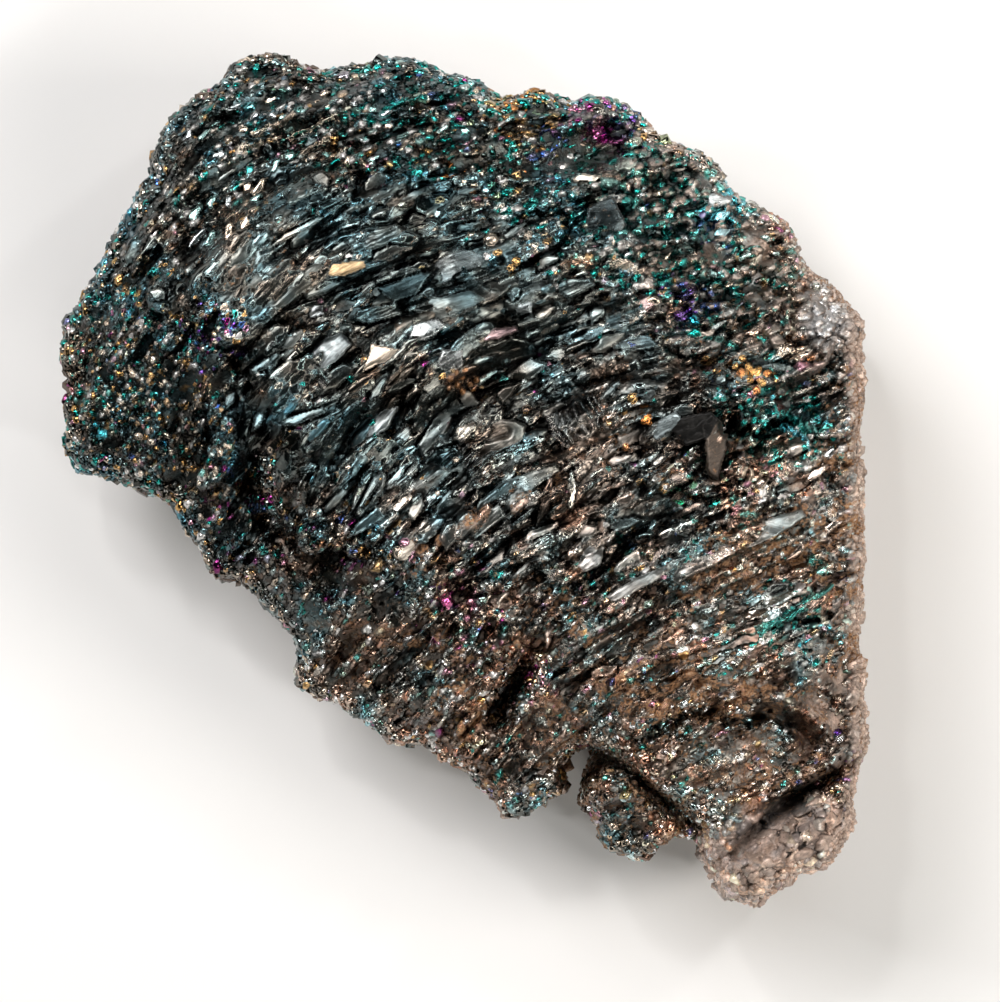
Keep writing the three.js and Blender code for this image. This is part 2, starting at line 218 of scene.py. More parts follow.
def line(points):
    """Distance in dots to a line through points."""
    best = np.full(PX.shape, 1e9)
    for (ax, ay), (bx, by) in zip(points[:-1], points[1:]):
        dx, dy = bx - ax, by - ay
        t = np.clip(((PX - ax) * dx + (PY - ay) * dy) / (dx * dx + dy * dy), 0, 1)
        best = np.minimum(best, (PX - ax - t * dx) ** 2 + (PY - ay - t * dy) ** 2)
    return np.sqrt(best)


# ---------------------------------------------------------------- the direction of growth
# (dot, dot, degrees): the blades lie along these directions, read at a few places and blended between them.
GROWTH = [
    (150, 200, 55), (155, 225, 50), (225, 265, 52), (300, 130, 25), (300, 175, 27), (390, 100, 15), (400, 200, 22),
    (450, 250, 20), (350, 300, 28), (300, 370, 45), (400, 400, 50), (350, 480, 57), (450, 450, 42), (550, 350, 20),
    (550, 420, 25), (600, 330, 17), (700, 380, 20), (640, 470, 30), (560, 500, 35), (450, 550, 45), (600, 560, 35),
    (700, 520, 27), (800, 400, 25), (800, 500, 22), (820, 620, 27), (700, 620, 30), (600, 660, 37), (520, 660, 55),
    (470, 720, 52), (400, 650, 45), (250, 550, 57), (130, 400, 60), (110, 330, 60), (700, 800, 32), (780, 800, 30),
    (650, 150, 17), (720, 220, 12), (780, 280, 15), (750, 880, 25), (540, 110, 12),
]  # fmt: skip
_c = _s = 0.0
for _x, _y, _deg in GROWTH:
    _w = 1 / ((PX - _x) ** 2 + (PY - _y) ** 2 + 500) ** 1.6
    _c = _c + _w * math.cos(math.radians(2 * _deg))
    _s = _s + _w * math.sin(math.radians(2 * _deg))
ANGLE = 0.5 * np.arctan2(_s, _c)
ANGLE = ANGLE + 0.10 * noise3(MX, MY, 0.0, 7.0, 3) + 0.05 * noise3(MX, MY, 0.0, 2.6, 4)
FLOWX, FLOWY = np.cos(ANGLE), np.sin(ANGLE)


def flow(x, y):
    return np.stack([sample(FLOWX, x, y), sample(FLOWY, x, y)], -1)


def streaks(across, along, seed):
    """A map of streaks that follow the growth: across and along are their sizes in mm. Mean 0, spread 1."""
    m = blur(np.random.default_rng(seed).standard_normal(MX.shape), across * 0.35)
    total = m.copy()
    n = max(2, int(along / 2 / 0.5))
    for way in (1, -1):
        x, y = MX.copy(), MY.copy()
        for _ in range(n):
            fx, fy = sample(FLOWX, x, y), sample(FLOWY, x, y)
            x, y = x + way * 0.5 * fx, y + way * 0.5 * fy
            total = total + sample(m, x, y)
    total -= total.mean()
    return total / total.std()


BROAD = streaks(3.2, 16.0, 11)
MIDDLE = streaks(1.5, 8.0, 12)
FINE = streaks(0.8, 4.0, 13)
GAPS = streaks(1.0, 7.0, 14)
SMALL_GAPS = streaks(0.55, 3.0, 15)

# ---------------------------------------------------------------- where what grows
# 1 in the middle of the field of big blades, 0 in the druse
blade_field = 1 - step(0.72, 1.12, ellipse(425, 372, 315, 185, -24) + 0.12 * noise3(MX, MY, 0.0, 5.0, 21))
ridge_field = (1 - step(0.7, 1.1, ellipse(660, 500, 230, 190, 10))) * 0.55
_odd = 20 * noise3(MX, MY, 0.0, 1.6, 105) + 8 * noise3(MX, MY, 0.0, 0.7, 106)
LOBE = (1 - step(205, 262, PX + 0.16 * (PY - 400) + 0.6 * _odd)) * step(278, 335, PY + _odd + 0.25 * (PX - 160))
blade_field *= 1 - LOBE
WAXY = 1 - step(0.6, 1.1, ellipse(235, 240, 95, 60, 25))
CRUST = 1 - step(0.75, 1.15, ellipse(768, 856, 92, 44, 20))


def relief():
    """How far the upper face of the real piece stands over or under the plain chunk, in mm."""
    r = np.zeros(MX.shape)
    calm = 1 - 0.75 * CRUST
    r += 0.70 * BROAD * calm + (0.45 - 0.15 * blade_field) * MIDDLE * calm
    # narrow gaps that run along the growth
    r -= 1.5 * step(0.9, 2.0, GAPS) * (1 - LOBE) * calm
    # the left lobe lies lower, behind a crevice
    r -= 1.6 * LOBE
    crevice = line([(241, 352), (250, 374), (256, 400), (251, 455), (262, 520), (300, 560), (330, 590)])
    r -= 4.2 * np.exp(-((crevice / 11) ** 2)) * (1 - 0.6 * step(500, 560, PY))
    r -= 3.8 * np.exp(-(ellipse(186, 247, 19, 14, 20) ** 2) * 1.4)
    r -= 2.6 * np.exp(-(ellipse(330, 560, 26, 16, 50) ** 2) * 1.4)
    # the thin wall that bounds the teal druse of the upper right, and the lower ground behind it
    wall = line([(634, 198), (648, 250), (676, 282), (700, 322), (742, 334)])
    r += 0.9 * np.exp(-((wall / 4.5) ** 2))
    wall = line([(690, 222), (702, 262), (716, 300), (742, 334)])
    r += 0.6 * np.exp(-((wall / 4.0) ** 2))
    r -= 1.0 * step(0, 60, (PX - 640) + 0.5 * (200 - PY)) * (1 - step(300, 345, PY))
    # the block and the deep shadow beside it
    r += 0.9 * np.exp(-(ellipse(692, 432, 34, 20, 20) ** 2) ** 2)
    r -= 4.2 * np.exp(-(ellipse(738, 432, 13, 22, 10) ** 2) * 1.5)
    # the long cavity, and the pit under the arch
    r -= 6.5 * np.exp(-(ellipse(512, 690, 46, 17, 57) ** 2) ** 1.5)
    arch = line([(640, 716), (662, 700), (700, 694), (742, 700), (770, 694), (806, 712), (824, 730)])
    r += 2.4 * np.exp(-((arch / 9) ** 2))
    under = line([(648, 732), (668, 716), (708, 712), (748, 722), (772, 712), (796, 728), (806, 742)])
    r -= 3.0 * np.exp(-((under / 4) ** 2))
    r -= 0.8 * (1 - step(0.8, 1.3, ellipse(712, 778, 80, 52, -20)))
    # the groove over the crust, and the slot and the notch in the lower rim
    groove = line([(716, 868), (742, 846), (782, 812), (850, 768)])
    r -= 4.0 * np.exp(-((groove / 9) ** 2))
    groove = line([(752, 852), (800, 820), (846, 800)])
    r -= 1.8 * np.exp(-((groove / 6) ** 2))
    r += 1.2 * CRUST
    slot = line([(612, 762), (640, 782), (668, 806), (704, 836)])
    r -= 9.0 * np.exp(-((slot / 10) ** 4))
    r -= 26 * np.exp(-(ellipse(586, 768, 26, 17, 25) ** 2) ** 2)
    r -= 26 * np.exp(-(ellipse(578, 792, 11, 22, -8) ** 2) ** 2)
    return r


FURROWS = [
    (6, 1.7, [(330, 395), (400, 352), (480, 328), (560, 302), (610, 296)]),
    (6, 1.8, [(398, 486), (450, 452), (505, 432)]),
    (6, 1.8, [(506, 604), (560, 566), (610, 546), (700, 504)]),
    (5, 1.5, [(300, 350), (352, 322), (420, 300), (500, 262)]),
    (5, 1.4, [(420, 526), (470, 498), (520, 470), (585, 430)]),
    (5, 1.6, [(598, 650), (650, 622), (720, 596), (800, 560)]),
    (5, 1.4, [(455, 600), (520, 560), (585, 500), (640, 455)]),
    (6, 1.5, [(690, 470), (760, 452), (830, 430)]),
    (5, 1.5, [(640, 680), (700, 655), (780, 630), (850, 606)]),
    (6, 1.6, [(170, 190), (200, 150), (252, 110)]),
    (5, 1.3, [(300, 245), (360, 214), (430, 190), (500, 176)]),
    (5, 1.3, [(470, 395), (540, 372), (610, 352)]),
    (5, 1.5, [(735, 300), (790, 290), (840, 288)]),
    (5, 1.3, [(350, 640), (392, 606), (430, 575)]),
    (5, 1.6, [(250, 330), (290, 322), (330, 300), (372, 276)]),
    (6, 1.8, [(520, 540), (570, 520), (640, 480)]),
    (5, 1.4, [(330, 470), (352, 430), (390, 395)]),
    (5, 1.4, [(600, 620), (660, 590), (740, 560), (800, 530)]),
    (5, 1.3, [(440, 232), (500, 222), (560, 214)]),
    (5, 1.4, [(560, 690), (620, 660), (690, 632), (760, 606)]),
    (5, 1.4, [(150, 250), (176, 214), (210, 180)]),
]  # fmt: skip


def furrows():
    """How deep the furrows between bundles of blades are, in mm."""
    r = np.zeros(MX.shape)
    broken = np.clip(0.62 + 0.75 * noise3(MX, MY, 0.0, 3.4, 33) + 0.35 * noise3(MX, MY, 0.0, 1.3, 34), 0.1, 1.1)
    for width, depth, points in FURROWS:
        near = line(points) + 3.4 * noise3(MX, MY, 0.0, 2.4, 31) + 1.4 * noise3(MX, MY, 0.0, 0.9, 32)
        r = np.maximum(r, depth * np.exp(-((near / (0.72 * width)) ** 2)))
    return 0.85 * r * broken


FURROW = furrows()
RELIEF = relief() - FURROW
EDGE_ROUGH = 0.42 * noise3(MX, MY, 0.0, 2.4, 41) + 0.30 * noise3(MX, MY, 0.0, 1.1, 42)


def body_field(x, y, z):
    """Positive inside the body. Every argument is an array of the same shape."""
    depth = sample(DEPTH + EDGE_ROUGH - 0.45, x, y)
    face = chunk_face(x, y) + sample(RELIEF, x, y) - SKIN
    under = chunk_under(x, y) + 0.35
    skin = step(30, 37, x) * step(-41, -34, y) * step(24, 17, y)
    over = z > GIRTH_Z
    away = np.where(
        over,
        mix(8.0, 2.4, skin) * (1 - np.sqrt(np.maximum(1 - ((z - GIRTH_Z) / 17.0) ** 2, 0))) + np.maximum(z - 32, 0) * 2,
        mix(5.0, 1.6, skin) * (1 - np.sqrt(np.maximum(1 - ((GIRTH_Z - z) / 15.0) ** 2, 0))),
    )
    rough = 0.5 * noise3(x, y, z, 3.2, 51) + 0.28 * noise3(x, y, z, 1.5, 52)
    side = depth - away + rough * 0.8 * (1 - 0.55 * skin)
    fade = np.clip(depth / 3, 0, 1)
    up = (face - z) * 0.85 + swell(x, y, 30.0) * fade
    down = (z - under) * 0.9 + swell(x, y, 0.0) * 0.8 * fade + rough * 0.5
    f = smin(smin(side, up, 2.0), down, 2.5)
    return np.minimum(f, z + 0.0)


def surface_net(f, lo, h):
    """The zero surface of a grid of values as vertices and quads with their faces out."""
    inside = f > 0
    s = inside.astype(np.int8)
    count = sum(s[a : s.shape[0] - 1 + a, b : s.shape[1] - 1 + b, c : s.shape[2] - 1 + c] for a in (0, 1) for b in (0, 1) for c in (0, 1))
    active = (count > 0) & (count < 8)
    cells = np.argwhere(active)
    index = np.full(active.shape, -1, np.int64)
    index[active] = np.arange(len(cells))
    place = np.zeros((len(cells), 3))
    hits = np.zeros(len(cells))
    corner = [(a, b, c) for a in (0, 1) for b in (0, 1) for c in (0, 1)]
    values = {c: f[tuple((cells + c).T)] for c in corner}
    for a in corner:
        for b in corner:
            if a < b and sum(abs(p - q) for p, q in zip(a, b)) == 1:
                fa, fb = values[a], values[b]
                cross = (fa > 0) != (fb > 0)
                t = np.where(cross, fa / np.where(cross, fa - fb, 1), 0)
                place += cross[:, None] * (np.array(a) + t[:, None] * (np.array(b) - np.array(a)))
                hits += cross
    verts = (cells + place / hits[:, None]) * h + lo
    quads = []
    for axis in range(3):
        u, v = [d for d in range(3) if d != axis]
        one = [slice(None)] * 3
        one[axis] = slice(0, -1)
        two = [slice(None)] * 3
        two[axis] = slice(1, None)
        edge = np.argwhere(inside[tuple(one)] != inside[tuple(two)])
        edge = edge[(edge[:, u] > 0) & (edge[:, v] > 0) & (edge[:, u] < f.shape[u] - 1) & (edge[:, v] < f.shape[v] - 1)]
        eu, ev = np.eye(3, dtype=int)[u], np.eye(3, dtype=int)[v]
        ring = [edge - eu - ev, edge - ev, edge, edge - eu]
        q = np.stack([index[tuple(r.T)] for r in ring], 1)
        out = inside[tuple(edge.T)]
        if axis == 1:
            out = ~out
        q[~out] = q[~out][:, ::-1]
        quads.append(q)
    return verts, np.concatenate(quads)


CELL = 0.74
lo = np.array([-42.0, -44.0, -1.5 * CELL])
axes = [lo[0] + np.arange(115) * CELL, lo[1] + np.arange(120) * CELL, lo[2] + np.arange(53) * CELL]
field = np.empty(tuple(len(a) for a in axes), np.float32)
xx, yy = np.meshgrid(axes[0], axes[1], indexing="ij")
for k, z in enumerate(axes[2]):
    field[:, :, k] = body_field(xx, yy, np.full(xx.shape, z))
body_v, body_q = surface_net(field, lo, CELL)


def keep_largest(v, q):
    """Drops loose crumbs that the relief may cut off."""
    label = np.arange(len(v))
    for _ in range(400):
        low = label[q].min(1)
        new = label.copy()
        for c in range(4):
            np.minimum.at(new, q[:, c], low)
        new = new[new]
        if (new == label).all():
            break
        label = new
    keep = label == np.bincount(label).argmax()
    renumber = np.cumsum(keep) - 1
    return v[keep], renumber[q[keep[q[:, 0]]]]


body_v, body_q = keep_largest(body_v, body_q)


def quad_normals(v, q):
    n = np.cross(v[q[:, 2]] - v[q[:, 0]], v[q[:, 3]] - v[q[:, 1]])
    return n


def vertex_normals(v, q):
    n = quad_normals(v, q)
    out = np.zeros_like(v)
    for c in range(4):
        np.add.at(out, q[:, c], n)
    return unit(out)


# ---------------------------------------------------------------- the upper face, crystal by crystal
def top_of_body():
    """Height of the body's upper skin over the plan, by bisection, and nan outside it."""
    high, low = np.full(MX.shape, 37.0), np.full(MX.shape, GIRTH_Z)
    ok = body_field(MX, MY, low) > 0
    for _ in range(12):
        mid = (high + low) / 2
        up = body_field(MX, MY, mid) > 0
        low, high = np.where(up, mid, low), np.where(up, high, mid)
    return np.where(ok, low, np.nan)


def fill(m, known, mm):
    """A blurred map that ignores the unknown places."""
    return blur(np.where(known, np.nan_to_num(m), 0), mm) / np.maximum(blur(known.astype(float), mm), 0.05)


def shrink(m, times):
    """How many steps in from its edge each place of a region is, up to times."""
    deep = m.astype(int)
    for k in range(times - 1):
        n = m.copy()
        n[1:] &= m[:-1]
        n[:-1] &= m[1:]
        n[:, 1:] &= m[:, :-1]
        n[:, :-1] &= m[:, 1:]
        if k % 2:
            n[1:, 1:] &= m[:-1, :-1]
            n[:-1, :-1] &= m[1:, 1:]
            n[1:, :-1] &= m[:-1, 1:]
            n[:-1, 1:] &= m[1:, :-1]
        m = n
        deep += m
    return deep


BODY_TOP = top_of_body()
KNOWN = np.isfinite(BODY_TOP)
CALM = fill(BODY_TOP, KNOWN, 1.2)
CALM_DX, CALM_DY = np.gradient(CALM, PITCH)
BEND = np.gradient(ANGLE, PITCH)
BEND = FLOWX * BEND[0] + FLOWY * BEND[1]  # how fast the growth turns along itself
WARP_X = 0.16 * noise3(MX, MY, 0.0, 1.3, 55) + 0.07 * noise3(MX, MY, 0.0, 0.6, 56)
WARP_Y = 0.16 * noise3(MX, MY, 0.0, 1.3, 57) + 0.07 * noise3(MX, MY, 0.0, 0.6, 58)
ground = np.where(KNOWN, BODY_TOP, 0.0)
CRYSTAL = np.zeros(MX.shape, np.int64)  # the number of the crystal that shows at each place
LARGE = np.zeros(MX.shape)  # 1 where that crystal is a large one
TURN = ANGLE.copy()  # the direction of its long axis
FACET = np.zeros(MX.shape, np.int64)  # the number of the single face that shows


def chance(ids, k):
    """A number from 0 to 1 that belongs to a crystal; k picks one of many such numbers."""
    h = (ids * 2654435761 + (k + 1) * 97531357) & 0x7FFFFFFFFFFF
    h = (h ^ (h >> 15)) * 73244475 & 0x7FFFFFFFFFFF
    return TABLE[(h ^ (h >> 17)) & 0xFFFF].astype(float)


def bell(ids, k):
    """The same with a bell-shaped spread: mean 0, deviation 1."""
    return 2 * (chance(ids, k) + chance(ids, k + 1) + chance(ids, k + 2) - 1.5)


def raise_blades(xy, length, width, height, kind, tilt, pitch, sink, first, large, yaw, warp):
    """Lays blades over the ground: each is a ridge or a flat-topped plate along the growth, and the highest shows."""
    r = np.random.default_rng(first)
    n = len(xy)
    z0 = sample(ground, *xy.T)
    gx, gy = sample(CALM_DX, *xy.T), sample(CALM_DY, *xy.T)
    th = sample(ANGLE, *xy.T) + r.normal(0, yaw, n)
    bend = sample(BEND, *xy.T)
    crest = r.uniform(-0.7, 0.7, n)
    ends = r.uniform(0.08, 0.5, (n, 2))
    skew = r.normal(0, 0.55, n)
    blunt = r.uniform(1.5, 4.6, n)
    for i, (x, y) in enumerate(xy):
        reach = 0.5 * length[i] + width[i]
        i0, i1 = np.searchsorted(GX, (x - reach, x + reach))
        j0, j1 = np.searchsorted(GY, (y - reach, y + reach))
        if i1 - i0 < 3 or j1 - j0 < 3:
            continue
        dx, dy = GX[i0:i1, None] - x, GY[None, j0:j1] - y
        wx, wy = dx + warp[i] * WARP_X[i0:i1, j0:j1], dy + warp[i] * WARP_Y[i0:i1, j0:j1]
        c, s_ = math.cos(th[i]), math.sin(th[i])
        s = wx * c + wy * s_
        t = -wx * s_ + wy * c - bend[i] * s * s / 2
        u, w = (s + skew[i] * t) / (length[i] / 2), width[i] / 2
        g = np.clip(1 - np.abs(u) ** blunt[i], 0, 1) ** 0.5
        v = t / (w * np.maximum(g, 0.05))
        if kind[i] == 0:  # rounded
            prof = np.clip(1 - v * v, 0, 1) * (0.5 + 0.5 * g)
            facet = np.zeros(u.shape, np.int64)
        elif kind[i] == 1:  # two faces that meet in a crest
            sides = np.stack([(v + 1) / (crest[i] + 1), (1 - v) / (1 - crest[i]), (1 - u) / ends[i, 0], (1 + u) / ends[i, 1]])
            prof, facet = np.maximum(sides.min(0), 0) ** 0.82, sides.argmin(0)
        else:  # a flat top with bevelled sides
            sides = np.stack([(1 - v) / 0.2, (1 + v) / 0.2, (1 - u) / ends[i, 0], (1 + u) / ends[i, 1], 1 - 0.38 * v * v - 0.15 * u * u])
            prof, facet = sides.min(0), sides.argmin(0)
        inside = (np.abs(u) < 1) & (np.abs(v) < 1) & (prof > 0)
        z = z0[i] - sink[i] + gx[i] * dx + gy[i] * dy + pitch[i] * s + tilt[i] * t + height[i] * prof
        was = ground[i0:i1, j0:j1]
        win = inside & (z > was)
        was[win] = z[win]
        CRYSTAL[i0:i1, j0:j1][win] = first * 100000 + i
        FACET[i0:i1, j0:j1][win] = (first * 100000 + i) * 8 + facet[win]
        TURN[i0:i1, j0:j1][win] = th[i]
        LARGE[i0:i1, j0:j1][win] = large


def dart(tries, weight, seed, gap, stretch=4.5):
    """Random places over the plan where weight allows, about gap mm apart across the growth and more along it."""
    r = np.random.default_rng(seed)
    xy = np.stack([r.uniform(-41, 41, tries), r.uniform(-43, 43, tries)], -1)
    xy = xy[r.random(tries) < sample(weight * KNOWN, *xy.T)]
    g = sample(gap, *xy.T) if isinstance(gap, np.ndarray) else np.full(len(xy), gap)
    f = flow(*xy.T)
    f /= np.linalg.norm(f, axis=1, keepdims=True)
    kept, cells = [], {}
    size = 2.0
    for i in range(len(xy)):
        x, y = xy[i]
        ci, cj = int(x // size), int(y // size)
        near = [j for a in (-1, 0, 1) for b in (-1, 0, 1) for j in cells.get((ci + a, cj + b), ())]
        if near:
            d = xy[near] - xy[i]
            along, across = d @ f[i], d @ np.array([-f[i, 1], f[i, 0]])
            if (along**2 / stretch + across**2 < g[i] ** 2).any():
                continue
        cells.setdefault((ci, cj), []).append(i)
        kept.append(i)
    return xy[kept]


def grain_bed(size, aspect, seed, cut, tilt=0.3, dome=2.6):
    """Grains packed side by side: how high the highest stands at each place, its number, that of the face that shows, and how
    much lower the next grain is. A share cut of them is faceted and the rest round."""
    best, who = np.full(MX.shape, -9.0), np.zeros(MX.shape, np.int64)
    second = best.copy()
    side = np.zeros(MX.shape, np.int64)
    wx, wy = MX + 0.5 * WARP_X, MY + 0.5 * WARP_Y
    ci, cj = np.floor(wx / size).astype(np.int64), np.floor(wy / size).astype(np.int64)
    reach = 1 if aspect < 1.3 else 2
    for di in range(-reach, reach + 1):
        for dj in range(-reach, reach + 1):
            i, j = ci + di, cj + dj
            ids = (i + 4096) * 8192 + (j + 4096) + seed * 99991
            dx = wx - (i + 0.5 + 0.9 * (chance(ids, 1) - 0.5)) * size
            dy = wy - (j + 0.5 + 0.9 * (chance(ids, 2) - 0.5)) * size
            along, across = (dx * FLOWX + dy * FLOWY) / aspect, -dx * FLOWY + dy * FLOWX
            r = size * (0.48 + 0.62 * chance(ids, 3))
            h = 0.8 * r * (1 - np.minimum(np.sqrt(along**2 + across**2) / (1.02 * r), 3) ** dome)
            face = np.zeros(MX.shape, np.int64)
            if cut > 0:
                a = chance(ids, 4) * math.pi
                out = [along * np.cos(a + turn) + across * np.sin(a + turn) for turn in (0.0, math.pi / 3, 2 * math.pi / 3)]
                out = np.stack([o * sign for o in out for sign in (1, -1)])
                flat = np.minimum(0.5 * r, 0.95 * r - 1.15 * out.max(0))
                sharp = chance(ids, 5) < cut
                face[sharp] = (np.where(flat < 0.5 * r, out.argmax(0) + 1, 0))[sharp]
                h = np.where(sharp, flat, h)
            h = h + tilt * (bell(ids, 6) * along + bell(ids, 9) * across)
            win = h > best
            second = np.where(win, best, np.maximum(second, h))
            best[win], who[win], side[win] = h[win], ids[win], face[win]
    return best, who, who * 8 + side, best - second


r = np.random.default_rng(60)
wax_map = WAXY * (1 - LOBE)
combed = step(0.0, 0.8, noise3(MX, MY, 0.0, 3.2, 59) + 0.25)
SUGAR = step(690, 760, PY + 0.30 * (PX - 640)) * step(470, 560, PX + 0.0 * PY)


def grow(xy, first, long_, wide, tall, kinds, tilts, sinks, large, yaw, warps):
    """One generation of blades."""
    n = len(xy)
    length = np.clip(r.gamma(4.0, long_[0] / 4.0, n) + long_[1], long_[2], long_[3])
    width = np.clip(length * r.uniform(0.18, 0.46, n), wide[0], wide[1])
    wax = sample(wax_map, *xy.T)
    kind = np.where(r.random(n) < 0.6 * wax, 0, r.choice([0, 1, 2], n, p=kinds))
    raise_blades(
        xy, length, width * (1 + 0.3 * wax), width * r.uniform(tall[0], tall[1], n) * (1 + 0.7 * wax), kind, r.normal(0, tilts[0], n),
        r.normal(0, tilts[1], n), r.uniform(sinks[0], sinks[1], n), first, large, yaw, r.uniform(warps[0], warps[1], n) + 1.3 * wax,
    )  # fmt: skip
    print("blades", first, n, flush=True)


# three generations: the broad faces of the middle, the blades between them, and fine combs in places
middle = np.clip(blade_field * 1.3, 0, 1)
grow(dart(7000, middle, 61, 1.75), 62, (6.0, 3.0, 4.0, 14.0), (1.7, 4.4), (0.15, 0.28), [0.30, 0.5, 0.20], (0.18, 0.07), (-0.1, 0.3), 1.0, 0.05, (0.3, 1.0))
where = np.clip(blade_field * 0.27 + ridge_field * 1.3, 0, 1)
grow(dart(12000, where, 63, 1.15), 64, (3.2, 1.2, 1.8, 7.5), (0.7, 2.2), (0.18, 0.36), [0.25, 0.45, 0.3], (0.22, 0.09), (0.0, 0.5), 0.9, 0.08, (0.3, 1.0))
# in places the faces have run together like melted metal: rounded waves with sharp creases between them
_high, _dome, _, _apart = grain_bed(1.15, 2.2, 112, 0.0, 0.30, 2.0)
_ripple = streaks(0.9, 3.2, 102)
RUN = step(0.32, 0.58, WAXY * (1 - LOBE) + 0.22 * noise3(MX, MY, 0.0, 1.5, 104)) * (blade_field > 0.02)
_soft = fill(ground, KNOWN, 0.8) + 0.75 * (np.maximum(_high, -0.25) - 0.35) - 0.22 * np.exp(-((_apart / 0.10) ** 2)) + 0.035 * (np.abs(_ripple) - 0.8)
ground = mix(ground, _soft, RUN)
on = RUN > 0.5
CRYSTAL[on], LARGE[on], FACET[on] = _dome[on], 1.0, (_dome * 8)[on]
HERO = np.zeros(MX.shape, np.int64)  # which of the faces below shows at a place, and 0 for none
# Single large faces: corners in dots, the side that the face looks to in degrees, its slope, how far it stands out in mm,
# and its film of colour with how strong that is
FACES = [
    ([(406, 338), (414, 326), (436, 320), (446, 327), (434, 338), (418, 342)], 120, 0.30, 0.35, "silver", 0.6),
    ([(363, 371), (372, 344), (399, 351), (386, 363)], 130, 0.36, 0.45, "cream", 0.9),
    ([(306, 366), (316, 342), (342, 332), (352, 344), (336, 362), (318, 371)], 120, 0.26, 0.40, "silver", 0.6),
    ([(438, 368), (443, 350), (462, 352), (462, 368), (450, 374)], 60, 0.22, 0.30, "silver", 0.4),
    ([(474, 340), (480, 330), (516, 326), (518, 332), (498, 340)], 110, 0.30, 0.30, "pink", 0.25),
    ([(328, 276), (333, 265), (364, 262), (367, 268), (345, 276)], 110, 0.34, 0.35, "gold", 0.75),
    ([(420, 282), (430, 262), (462, 248), (486, 256), (478, 270), (446, 284)], 125, 0.22, 0.25, "silver", 0.15),
    ([(516, 314), (519, 304), (532, 303), (531, 313)], 120, 0.32, 0.35, "silver", 0.5),
    ([(474, 460), (480, 434), (504, 418), (528, 424), (520, 446), (496, 462)], 290, 0.10, 0.35, "silver", 0.0),
    ([(452, 440), (458, 428), (474, 422), (478, 428), (466, 440)], 130, 0.36, 0.35, "cream", 0.5),
    ([(364, 442), (372, 414), (392, 398), (400, 404), (388, 428)], 140, 0.30, 0.35, "silver", 0.45),
    ([(566, 186), (578, 172), (602, 177), (592, 184), (580, 180)], 120, 0.36, 0.60, "cream", 0.9),
    ([(584, 246), (588, 208), (612, 198), (626, 226), (612, 246)], 300, 0.12, 0.30, "black", 1.0),
    ([(309, 318), (312, 306), (322, 304), (323, 314)], 130, 0.36, 0.45, "silver", 0.9),
    ([(412, 330), (430, 300), (470, 292), (486, 300), (450, 318)], 115, 0.12, 0.20, "silver", 0.0),
    ([(560, 444), (574, 418), (606, 404), (612, 416), (588, 438)], 290, 0.14, 0.30, "silver", 0.0),
    ([(424, 524), (446, 494), (476, 476), (482, 486), (452, 518)], 320, 0.22, 0.30, "silver", 0.0),
    ([(340, 452), (356, 420), (374, 402), (378, 414), (360, 444)], 200, 0.16, 0.25, "silver", 0.0),
    ([(492, 500), (520, 476), (556, 462), (560, 470), (528, 492)], 120, 0.16, 0.30, "silver", 0.0),
    ([(575, 560), (582, 546), (604, 548), (600, 566), (584, 572)], 110, 0.20, 0.30, "silver", 0.3),
    ([(702, 203), (712, 193), (722, 197), (735, 194), (730, 203), (716, 207)], 110, 0.34, 0.50, "silver", 0.8),
    ([(710, 219), (716, 209), (731, 211), (724, 220)], 120, 0.34, 0.50, "cyan", 0.8),
    ([(713, 234), (719, 227), (732, 229), (726, 235)], 120, 0.34, 0.45, "cyan", 0.5),
    ([(698, 216), (701, 209), (706, 212), (704, 218)], 120, 0.34, 0.45, "violet", 0.6),
    ([(448, 610), (442, 602), (450, 596), (456, 602)], 110, 0.30, 0.50, "hot pink", 1.0),
    ([(530, 700), (532, 682), (540, 664), (545, 670), (538, 692)], 60, 0.25, 0.80, "pink", 0.9),
    ([(398, 560), (402, 544), (412, 536), (416, 546), (406, 560)], 80, 0.30, 0.45, "cream", 0.6),
    ([(664, 574), (700, 553), (736, 536), (744, 545), (712, 566), (678, 583)], 75, 0.24, 0.40, "silver", 0.30),
    ([(738, 537), (768, 519), (802, 508), (806, 517), (778, 534), (746, 549)], 85, 0.20, 0.45, "silver", 0.25),
    ([(606, 596), (640, 574), (664, 567), (660, 577), (632, 592), (612, 602)], 65, 0.26, 0.35, "silver", 0.25),
    ([(590, 790), (596, 778), (606, 778), (604, 790)], 80, 0.2, 0.3, "silver", 0.2),
    ([(94, 437), (96, 429), (105, 429), (105, 437)], 140, 0.36, 0.5, "cyan", 1.0),
]  # fmt: skip


JX, JY = PX + 2.0 * noise3(MX, MY, 0.0, 1.0, 81), PY + 2.0 * noise3(MX, MY, 0.0, 1.0, 82)


def within(points, ragged=0.5):
    """True inside a shape with slightly ragged sides, given by its corners in dots."""
    odd = np.zeros(MX.shape, bool)
    x, y = mix(PX, JX, ragged), mix(PY, JY, ragged)
    for (ax, ay), (bx, by) in zip(points, points[1:] + points[:1]):
        if ay != by:
            odd ^= ((ay > y) != (by > y)) & (x < ax + (y - ay) * (bx - ax) / (by - ay))
    return odd & KNOWN


def raise_faces():
    for k, (points, toward, steep, lift, name, much) in enumerate(FACES):
        odd = within(points)
        x, y = MX[odd].mean(), MY[odd].mean()
        a = math.radians(toward)
        z0 = np.percentile(ground[odd], 60)
        wave = 0.05 * noise3(MX, MY, 0.0, 1.4, 83) + 0.03 * noise3(MX, MY, 0.0, 0.6, 84)
        plane = z0 - steep * ((MX - x) * math.cos(a) + (MY - y) * math.sin(a)) + lift + wave
        plane = plane - 0.075 * ((MX - x) ** 2 + (MY - y) ** 2)
        win = odd & (plane > ground - 0.1)
        ground[win] = plane[win]
        CRYSTAL[win], LARGE[win], HERO[win], FACET[win] = 9900000 + k, 1.0, k + 1, (9900000 + k) * 8


